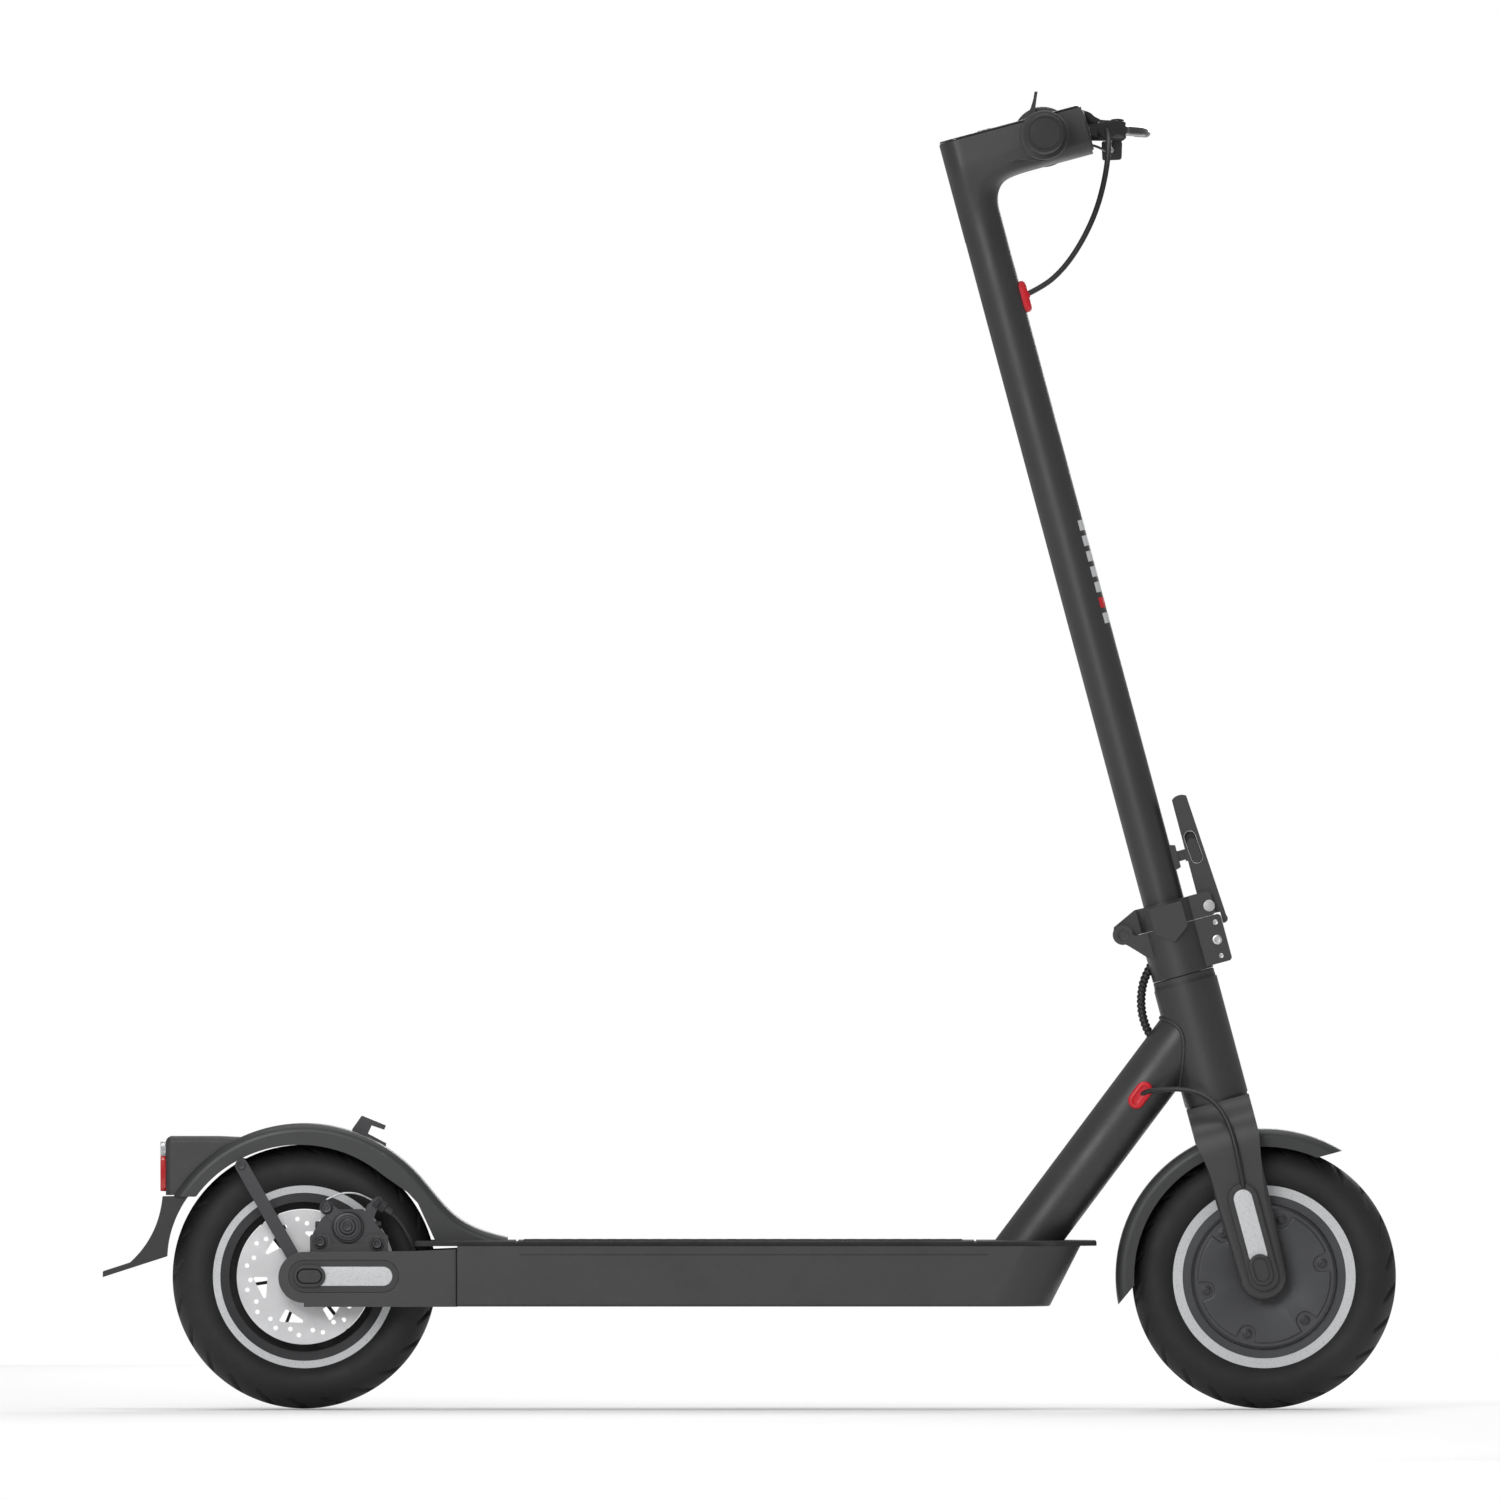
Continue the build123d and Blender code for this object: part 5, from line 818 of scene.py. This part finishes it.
addPiece("hingePin", bm, "framePaint", "fork", 30)
bm = bmesh.new()
for out in (-1, 1):
    place = steerMatrix(*foldShape["leverPin"], out * 0.0166)
    loft(bm, [(circle(0.0049), 0.0), (circle(0.0049), 0.0007), (circle(0.0046), 0.0010), (circle(0.0020), 0.0011)],
         place)
addPiece("leverPinHeads", bm, "steel", "stem", 30)
bm = bmesh.new()
place = steerMatrix(*foldShape["pocket"], -0.0015) @ Matrix.Rotation(math.radians(foldShape["pocketTurn"]), 4, "Z")
loft(bm, [(oval(0.0276, 0.0096), -0.0030), (oval(0.0276, 0.0096), 0.0)], place)
addPiece("leverPocket", bm, "plastic", "fold_lever", 30)
print("folding joint fitted")

# red grommets
bm = bmesh.new()
gromBase = Matrix((steerUp.cross(steerFore), steerUp, steerFore)).transposed().to_4x4()
place = Matrix.Translation(onSteer(0.0173, 0.8405)) @ gromBase
body = lambda inset: oval(0.0270 - 2 * inset, 0.0130 - 2 * inset)
loft(bm, pillow(body, 0.0050, 0.0036, -0.0040) + [(body(0.0048), 0.0052)], place)
stemGrommet = addPiece("stemGrommetRed", bm, "red", "stem", 50)
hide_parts("stem_grommet")
bm = bmesh.new()
exitAt, exitTo = Vector(cableShape["upper"]["route"][-1]), Vector(cableShape["upper"]["route"][-2])
loft(bm, [(circle(0.0036), -0.002), (circle(0.0036), 0.0016), (circle(0.0031), 0.0028), (circle(0.0024), 0.0030)],
     axisMatrix(exitAt + (exitTo - exitAt).normalized() * 0.0012, exitTo - exitAt))
addPiece("stemGrommetNeck", bm, "red", "stem", 50)
bm = bmesh.new()
place = sideMatrix(0.3253, -0.0226, 0.2613, math.radians(53.2 - 90))
outer = lambda inset: oval(0.0250 - 2 * inset, 0.0140 - 2 * inset)
rings = pillow(outer, 0.0034, 0.0022, -0.0030)
rings += [(oval(0.0185, 0.0076), 0.0034), (oval(0.0172, 0.0064), 0.0026), (oval(0.0162, 0.0054), 0.0024)]
loft(bm, rings, place)
frameGrommet = addPiece("frameGrommetRed", bm, "red", "frame", 50)
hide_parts("cable_grommet")
print("grommets pressed in")

# caliper: bolts, cam, return spring, adjuster, cable clamp
caliperShape = {"bolts": [(-0.3576, 0.1397), (-0.3103, 0.1381)], "cam": (-0.3348, 0.1522),
                "clamp": (-0.3523, 0.1678), "springR": 0.0127, "springWire": 0.0007, "turns": 3}
bm = bmesh.new()
for x, z in caliperShape["bolts"]:
    place = sideMatrix(x, -0.0560, z)
    loft(bm, [(circle(0.0062), 0.0), (circle(0.0062), 0.0010), (circle(0.0056), 0.0014)], place)
    screwHead(bm, place @ Matrix.Translation((0, 0, 0.0012)), 0.0046, 0.0042, 0.0023)
addPiece("caliperBolts", bm, "blackOxide", "frame", 30)
bm = bmesh.new()
place = sideMatrix(caliperShape["cam"][0], -0.0553, caliperShape["cam"][1])
loft(bm, [(circle(0.0115), 0.0), (circle(0.0113), 0.0006), (circle(0.0096), 0.0008), (circle(0.0092), 0.0002),
          (circle(0.0072), 0.0002), (circle(0.0068), 0.0022), (circle(0.0060), 0.0028)], place)
screwHead(bm, place @ Matrix.Translation((0, 0, 0.0026)), 0.0042, 0.0022, 0.0022)
screwHead(bm, sideMatrix(caliperShape["clamp"][0], -0.0545, caliperShape["clamp"][1]), 0.0050, 0.0046, 0.0021)
addPiece("camAndClamp", bm, "blackOxide", "caliper_arm", 30)
bm = bmesh.new()
coil = []
for k in range(caliperShape["turns"] * 40 + 1):
    turn = math.tau * k / 40
    coil.append(Vector((caliperShape["cam"][0] + caliperShape["springR"] * math.cos(turn + 0.6),
                        -0.0512 - 0.0036 * k / (caliperShape["turns"] * 40),
                        caliperShape["cam"][1] + caliperShape["springR"] * math.sin(turn + 0.6))))
tubeMesh(bm, coil, lambda walked, turn: caliperShape["springWire"], 10)
addPiece("caliperSpring", bm, "blackOxide", "frame", 60)
bm = bmesh.new()
entry, onward = Vector(cableShape["rear"]["route"][0]), Vector(cableShape["rear"]["route"][1])
place = axisMatrix(entry, onward - entry)
loft(bm, [(hexagon(0.0050), -0.0075), (hexagon(0.0054), -0.0070), (hexagon(0.0054), -0.0035),
          (hexagon(0.0050), -0.0030)], place)
knurl = [(0.0046 + 0.0003 * (k % 2), k) for k in range(48)]
knurled = [(r * math.cos(math.tau * k / 48), r * math.sin(math.tau * k / 48)) for r, k in knurl]
loft(bm, [(circle(0.0042), -0.0028), (knurled, -0.0024), (knurled, 0.0028), (circle(0.0040), 0.0032),
          (circle(0.0034), 0.0033), (circle(0.0034), 0.0098), (circle(0.0029), 0.0104)], place)
for x in (-0.3617, -0.3116):
    loft(bm, [(hexagon(0.0036), 0.0), (hexagon(0.0038), 0.0004), (hexagon(0.0038), 0.0046),
              (hexagon(0.0034), 0.0050)],
         axisMatrix((x, -0.0452, 0.1532), (1, 0, 0)))
addPiece("cableAdjuster", bm, "blackOxide", "frame", 30)
print("caliper detailed")

# grips with moulded rings and end plugs
barAt = onSteer(0.0684, 0.9654)
gripShape = {"inner": 0.095, "outer": 0.215, "radius": 0.0161, "flange": 0.0164, "bar": 0.0111, "ribPitch": 0.0044,
             "ribDepth": 0.0007, "flutes": 24}


def gripRing(shape, along):
    ribbed = softStep(along, 0.010, 0.014) * (1 - softStep(along, 0.100, 0.104))
    wave = 0.5 + 0.5 * math.cos(math.tau * along / shape["ribPitch"])
    points = []
    for k in range(96):
        turn = math.tau * k / 96
        flute = 0.5 + 0.5 * math.cos(shape["flutes"] * turn)
        r = shape["radius"] - shape["ribDepth"] * ribbed * wave * flute
        if along < 0.006:
            r = shape["flange"]
        points.append((r * math.cos(turn), r * math.sin(turn)))
    return points


for out, tag in ((-1, "Right"), (1, "Left")):
    shape = gripShape
    length = shape["outer"] - shape["inner"]
    place = sideMatrix(barAt.x, out * shape["inner"], barAt.z)
    bm = bmesh.new()
    rings = [(circle(0.0118, 96), 0.0), (circle(0.0154, 96), 0.0), (circle(0.0164, 96), 0.0010)]
    steps = 220
    rings += [(gripRing(shape, 0.001 + (length - 0.003) * k / steps), 0.001 + (length - 0.003) * k / steps)
              for k in range(steps + 1)]
    rings += [(circle(0.0158, 96), length - 0.0012), (circle(0.0148, 96), length - 0.0003),
              (circle(0.0138, 96), length - 0.0002), (circle(0.0136, 96), length - 0.0007),
              (circle(0.0130, 96), length - 0.0007), (circle(0.0127, 96), length - 0.0003),
              (circle(0.0040, 96), length)]
    loft(bm, rings, place)
    grip = addPiece("grip" + tag, bm, "grip", "stem", 40)
    if out < 0:
        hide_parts("grips")
print("grips moulded")

# brake lever, its perch and the switch box
leverShape = {"pivot": (0.3068, 0.0740, 1.0665), "tilt": 3.0,
              "spine": [(0.0005, -0.0045), (0.0020, 0.0040), (0.0095, 0.0150), (0.0180, 0.0290), (0.0215, 0.0460),
                        (0.0220, 0.0680), (0.0212, 0.0920), (0.0205, 0.1100), (0.0205, 0.1205)],
              "halfWidth": 0.0072, "halfThick": 0.0044}
tilt = math.radians(leverShape["tilt"])
pivotBase = Matrix(((math.cos(tilt), 0, -math.sin(tilt)), (0, 1, 0),
                    (math.sin(tilt), 0, math.cos(tilt)))).transposed()
pivotPlace = Matrix.Translation(leverShape["pivot"]) @ pivotBase.to_4x4()
spine = alongLine(centreLine("leverSpine", [(x, y, 0.0) for x, y in leverShape["spine"]]), 0.0016)
bm = bmesh.new()
rows = []
for k, point in enumerate(spine):
    ahead = (spine[min(k + 1, len(spine) - 1)] - spine[max(k - 1, 0)]).normalized()
    across = Vector((ahead.y, -ahead.x, 0))
    t = k / (len(spine) - 1)
    ends = roundOff(min(t, 1 - t) * lengthOf(spine), 0.0072)
    wide = leverShape["halfWidth"] * ends * (1 - 0.16 * math.sin(math.pi * softStep(t, 0.3, 0.95)))
    thick = leverShape["halfThick"] * (0.35 + 0.65 * ends)
    row = []
    for i in range(28):
        turn = math.tau * i / 28
        c, s = math.cos(turn), math.sin(turn)
        u = math.copysign(abs(c) ** 0.55, c) * wide
        v = math.copysign(abs(s) ** 0.7, s) * thick * (1 - 0.16 * (1 - abs(c)) * softStep(t, 0.25, 0.4))
        row.append(bm.verts.new(pivotPlace @ (point + across * u + Vector((0, 0, v)))))
    rows.append(row)
for low, high in zip(rows, rows[1:]):
    for i in range(28):
        j = (i + 1) % 28
        bm.faces.new((low[i], low[j], high[j], high[i]))
bm.faces.new(list(reversed(rows[0])))
bm.faces.new(rows[-1])
lever = addPiece("brakeLeverBlade", bm, "gloss", "brake_lever", 60)
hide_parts("brake_lever")

bm = bmesh.new()
place = sideMatrix(barAt.x, 0.064, barAt.z)
ringSteps = [(circle(0.0111, 64), 0.0), (circle(0.0178, 64), 0.0), (circle(0.0190, 64), 0.0012),
             (circle(0.0190, 64), 0.0188), (circle(0.0178, 64), 0.0200), (circle(0.0111, 64), 0.0200)]
loft(bm, ringSteps, place, closed=True)
toSide = Matrix(((1, 0, 0), (0, 0, -1), (0, 1, 0))).to_4x4()
upperJaw = [(0.2590, 1.0700), (0.2950, 1.0714), (0.3140, 1.0714), (0.3142, 1.0722), (0.3105, 1.0742),
            (0.2960, 1.0745), (0.2900, 1.0752), (0.2845, 1.0808), (0.2770, 1.0833), (0.2590, 1.0770)]
lowerJaw = [(0.2560, 1.0550), (0.2840, 1.0574), (0.3115, 1.0572), (0.3144, 1.0600), (0.3140, 1.0616),
            (0.2960, 1.0616), (0.2600, 1.0640)]
web = [(0.2560, 1.0560), (0.2945, 1.0590), (0.2950, 1.0738), (0.2850, 1.0790), (0.2570, 1.0770)]
wall = [(0.2900, 1.0590), (0.3138, 1.0590), (0.3138, 1.0736), (0.2900, 1.0738)]
for outline, y0, y1, edge in ((upperJaw, 0.0643, 0.0837, 0.0010), (lowerJaw, 0.0643, 0.0837, 0.0012),
                              (web, 0.0646, 0.0834, 0.0016), (wall, 0.0641, 0.0650, 0.0003)):
    prism(bm, rounded(outline, 0.003), -y1, -y0, toSide, edge, 3)
screwHead(bm, Matrix.Translation((0.3070, 0.0740, 1.0738)), 0.0056, 0.0022, 0.0024)
screwHead(bm, axisMatrix((0.3066, 0.0740, 1.0578), (0, 0, -1)), 0.0042, 0.0016, 0.0018)
perch = addPiece("brakePerchBody", bm, "gloss", "stem", 35)
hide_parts("brake_perch")
bm = bmesh.new()
box = [(0.2944, 1.0408), (0.3104, 1.0416), (0.3109, 1.0568), (0.2936, 1.0570)]
prism(bm, rounded(box, 0.0022), -0.0810, -0.0670, toSide, 0.0009, 3)
addPiece("brakeSwitchBox", bm, "plastic", "stem", 35)
bm = bmesh.new()
screwHead(bm, sideMatrix(0.3016, 0.0668, 1.0496) @ Matrix.Rotation(math.pi, 4, "Y"), 0.0024, 0.0012, 0.0011)
addPiece("brakeSwitchScrew", bm, "steel", "stem", 30)
switchWire = {"diameter": 0.0022, "route": [(0.2700, 0.0140, 1.0560), (0.2850, 0.0200, 1.0535),
                                            (0.2930, 0.0330, 1.0505), (0.2962, 0.0500, 1.0490),
                                            (0.2975, 0.0680, 1.0480)]}
fixedCable("brakeSwitchWire", switchWire, "stem")
print("lever and perch shaped")

# bell thumb lever
bm = bmesh.new()
place = sideMatrix(barAt.x, 0.0413, barAt.z)
loft(bm, [(circle(0.0112, 64), 0.0), (circle(0.0172, 64), 0.0), (circle(0.0180, 64), 0.0008),
          (circle(0.0180, 64), 0.0042), (circle(0.0172, 64), 0.0050), (circle(0.0112, 64), 0.0050)],
     Matrix.Translation((0, -0.0050, 0)) @ place, closed=True)
thumb = [(-0.0166, 0.0070), (-0.0162, 0.0131), (-0.0128, 0.0190), (-0.0103, 0.0245), (-0.0082, 0.0315),
         (-0.0072, 0.0378), (-0.0046, 0.0378), (-0.0056, 0.0310), (-0.0069, 0.0255), (-0.0070, 0.0205),
         (-0.0050, 0.0172), (-0.0100, 0.0120)]
prism(bm, [(barAt.x + x, barAt.z + z) for x, z in thumb], -0.0411, -0.0365, toSide, 0.0006, 2)
bellThumb = addPiece("bellThumbLever", bm, "plastic", "bell_lever", 35)
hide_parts("bell_lever")
bm = bmesh.new()
wedge = [(-0.0056, 0.0225), (-0.0050, 0.0252), (0.0110, 0.0186), (0.0125, 0.0150)]
prism(bm, [(barAt.x + x, barAt.z + z) for x, z in wedge], -0.0535, -0.0440, toSide, 0.0008, 2)
addPiece("bellStriker", bm, "plastic", "stem", 35)
print("bell fitted")

# tail lamp: clear panel over a red one, with inner ribs
tailShape = {"x": -0.4864, "proud": 0.0045, "half": 0.0200, "red": (0.1813, 0.2107), "clear": (0.2110, 0.2223)}
for part, look, slotName in (("red", "redLens", "lens_red"), ("clear", "clearLens", "lens_red")):
    low, high = tailShape[part]
    place = Matrix.Translation((tailShape["x"], 0, (low + high) / 2)) @ Matrix(
        ((0, 0, -1), (-1, 0, 0), (0, 1, 0))).to_4x4()
    half, tall = tailShape["half"], (high - low) / 2
    corners = [(-half, -tall), (half, -tall), (half, tall), (-half, tall)]
    bm = bmesh.new()
    prism(bm, rounded(corners, 0.003), 0.0, tailShape["proud"], place, 0.0009, 3)
    panel = addPiece("tailLens" + part.capitalize(), bm, look, "frame", 35)
    if part == "red":
        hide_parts("tail_lens")
    bm = bmesh.new()
    inset = [(x * 0.86, y * 0.8) for x, y in corners]
    prism(bm, rounded(inset, 0.002), -0.0002, 0.0011, place, 0.0002, 1)
    addPiece("tailReflector" + part.capitalize(), bm, "disc" if part == "clear" else "red", "frame",
             30)
print("tail lamp glazed")

# plain bars on the front of the stem
barShape = {"low": 0.5600, "pitch": 0.0133, "tall": 0.0088, "count": 7, "red": 1, "radius": 0.01745, "half": 42.0}
for k in range(barShape["count"]):
    low = barShape["low"] + barShape["pitch"] * k
    bm = bmesh.new()
    rows = []
    for s in (low, low + barShape["tall"]):
        for lift in (0.0, 0.00012):
            row = []
            for i in range(17):
                turn = math.radians(barShape["half"]) * (i / 8 - 1)
                r = barShape["radius"] - 0.00014 + lift
                row.append(bm.verts.new(onSteer(r * math.cos(turn), s, r * math.sin(turn))))
            rows.append(row)
    lowIn, lowOut, highIn, highOut = rows
    for a, b in ((lowIn, lowOut), (lowOut, highOut), (highOut, highIn), (highIn, lowIn)):
        for i in range(16):
            bm.faces.new((a[i], a[i + 1], b[i + 1], b[i]))
    bm.faces.new((lowIn[0], lowOut[0], highOut[0], highIn[0]))
    bm.faces.new((lowIn[-1], highIn[-1], highOut[-1], lowOut[-1]))
    red = k == barShape["red"]
    addPiece("stemBar" + str(k + 1), bm, "red" if red else "film", "stem", 30)
print("stem bars on")

# weld bead where the down tube meets the head tube
weldShape = {"foot": (0.2332, 0.1404), "lean": 53.2, "downR": 0.0232, "headR": 0.0270, "bead": 0.0017,
             "ripple": 0.0026}
lean = math.radians(weldShape["lean"])
downDir = Vector((math.cos(lean), 0, math.sin(lean)))
downSide = Vector((-math.sin(lean), 0, math.cos(lean)))
foot = Vector((weldShape["foot"][0], 0, weldShape["foot"][1]))
bead = []
for k in range(181):
    turn = math.tau * k / 180
    start = foot + (downSide * math.cos(turn) + leftward * math.sin(turn)) * weldShape["downR"] - frontAxle
    start -= steerUp * start.dot(steerUp)
    run = downDir - steerUp * downDir.dot(steerUp)
    a, b = run.dot(run), 2 * start.dot(run)
    c = start.dot(start) - weldShape["headR"] ** 2
    gap = b * b - 4 * a * c
    t = (-b - math.sqrt(max(gap, 0.0))) / (2 * a)
    bead.append(foot + (downSide * math.cos(turn) + leftward * math.sin(turn)) * weldShape["downR"] + downDir * t)
bm = bmesh.new()
tubeMesh(bm, alongLine(bead, 0.0007),
         lambda walked, turn: weldShape["bead"] * (1 + 0.14 * math.cos(math.tau * walked / weldShape["ripple"])), 14)
addPiece("headWeld", bm, "framePaint", "frame", 60)
print("weld laid")

headsetShape = {"low": (0.1490, 0.1531, 0.0262), "high": (0.2529, 0.2557, 0.0262), "bore": 0.0180}
bm = bmesh.new()
for low, high, radius in (headsetShape["low"], headsetShape["high"]):
    place = axisMatrix(onSteer(0, low), steerUp)
    tall, bore = high - low, headsetShape["bore"]
    loft(bm, [(circle(bore, 72), 0.0), (circle(radius, 72), 0.0), (circle(radius, 72), tall),
              (circle(bore, 72), tall)], place, closed=True)
addPiece("headsetCups", bm, "blackOxide", "frame", 30)
print("headset closed")

# deck mat tread: rows of raised lozenges
treadShape = {"x": (-0.190, 0.184), "y": 0.062, "pitchX": 0.0125, "pitchY": 0.0088, "long": 0.0096, "wide": 0.0046,
              "tall": 0.0007, "top": 0.1402}
bm = bmesh.new()
columns = int((treadShape["x"][1] - treadShape["x"][0]) / treadShape["pitchX"])
rowsAcross = int(2 * treadShape["y"] / treadShape["pitchY"])
for i in range(columns):
    for j in range(rowsAcross):
        x = treadShape["x"][0] + treadShape["pitchX"] * (i + 0.5 + (0.5 if j % 2 else 0.0))
        y = -treadShape["y"] + treadShape["pitchY"] * (j + 0.5)
        if x + treadShape["long"] / 2 > treadShape["x"][1]:
            continue
        rings = []
        for share, z in ((1.0, -0.0002), (1.0, 0.0003), (0.86, treadShape["tall"])):
            long, wide = treadShape["long"] / 2 * share, treadShape["wide"] / 2 * share
            rings.append(([(-long, 0), (-long * 0.45, -wide), (long * 0.45, -wide), (long, 0), (long * 0.45, wide),
                           (-long * 0.45, wide)], z))
        loft(bm, rings, Matrix.Translation((x, y, treadShape["top"])), capStart=False)
addPiece("deckMatTread", bm, "mat", "frame", 25)
print("deck mat treaded")

# stay screws, one on each side
bm = bmesh.new()
for out in (-1, 1):
    screwHead(bm, sideMatrix(-0.4230, out * 0.0560, 0.2030), 0.0036, 0.0018, 0.0016)
addPiece("stayScrews", bm, "blackOxide", "frame", 30)
print("small screws on")

# stage
stageLook = {"floorSize": 6.0, "floorColour": (0.98, 0.98, 0.98), "worldColour": (1.0, 1.0, 1.0),
             "backdrop": 1.0, "roomLight": 0.34}
floorMesh = bpy.data.meshes.new("studioFloor")
half = stageLook["floorSize"] / 2
floorMesh.from_pydata([(-half, -half, 0), (half, -half, 0), (half, half, 0), (-half, half, 0)], [], [(0, 1, 2, 3)])
floor = bpy.data.objects.new("studioFloor", floorMesh)
floor.location.z = -0.0005
bpy.context.scene.collection.objects.link(floor)
floorMat, floorTree, floorShader = newMaterial("studioFloor", stageLook["floorColour"], 0.85)
floorMesh.materials.append(floorMat)

world = bpy.data.worlds.new("studio")  # a white backdrop to the eye, dimmer as a light
world.use_nodes = True
worldTree = world.node_tree
room = worldTree.nodes["Background"]
room.inputs["Color"].default_value = (*stageLook["worldColour"], 1)
room.inputs["Strength"].default_value = stageLook["roomLight"]
backdrop = worldTree.nodes.new("ShaderNodeBackground")
backdrop.inputs["Color"].default_value = (*stageLook["worldColour"], 1)
backdrop.inputs["Strength"].default_value = stageLook["backdrop"]
seen = worldTree.nodes.new("ShaderNodeLightPath")
pick = worldTree.nodes.new("ShaderNodeMixShader")
worldTree.links.new(seen.outputs["Is Camera Ray"], pick.inputs[0])
worldTree.links.new(room.outputs[0], pick.inputs[1])
worldTree.links.new(backdrop.outputs[0], pick.inputs[2])
worldTree.links.new(pick.outputs[0], worldTree.nodes["World Output"].inputs["Surface"])
bpy.context.scene.world = world

lamps = {
    "keyLamp": {"at": (-0.9, -3.4, 1.5), "size": 1.5, "watts": 46.0},
    "topLamp": {"at": (0.0, -0.2, 3.4), "size": 3.0, "watts": 52.0},
    "backLamp": {"at": (0.8, 3.2, 2.0), "size": 2.0, "watts": 60.0},
}
for lampName, lamp in lamps.items():
    data = bpy.data.lights.new(lampName, "AREA")
    data.size = lamp["size"]
    data.energy = lamp["watts"]
    light = bpy.data.objects.new(lampName, data)
    light.location = lamp["at"]
    light.rotation_euler = (Vector((0, 0, 0.45)) - light.location).to_track_quat("-Z", "Y").to_euler()
    bpy.context.scene.collection.objects.link(light)

cameraLook = {"lens": 1200.0, "sensor": 36.0, "viewWidth": 1.25, "target": (0.0002, 0.0, 0.5488)}
cameraData = bpy.data.cameras.new("studioCamera")
cameraData.lens = cameraLook["lens"]
cameraData.sensor_width = cameraLook["sensor"]
away = cameraLook["viewWidth"] * cameraLook["lens"] / cameraLook["sensor"]
cameraData.clip_end = away * 3
camera = bpy.data.objects.new("studioCamera", cameraData)
camera.location = Vector(cameraLook["target"]) + Vector((0, -away, 0))
camera.rotation_euler = (math.pi / 2, 0, 0)
bpy.context.scene.collection.objects.link(camera)
bpy.context.scene.camera = camera
bpy.context.scene.view_settings.view_transform = "Standard"
print("stage, lamps and camera ready")
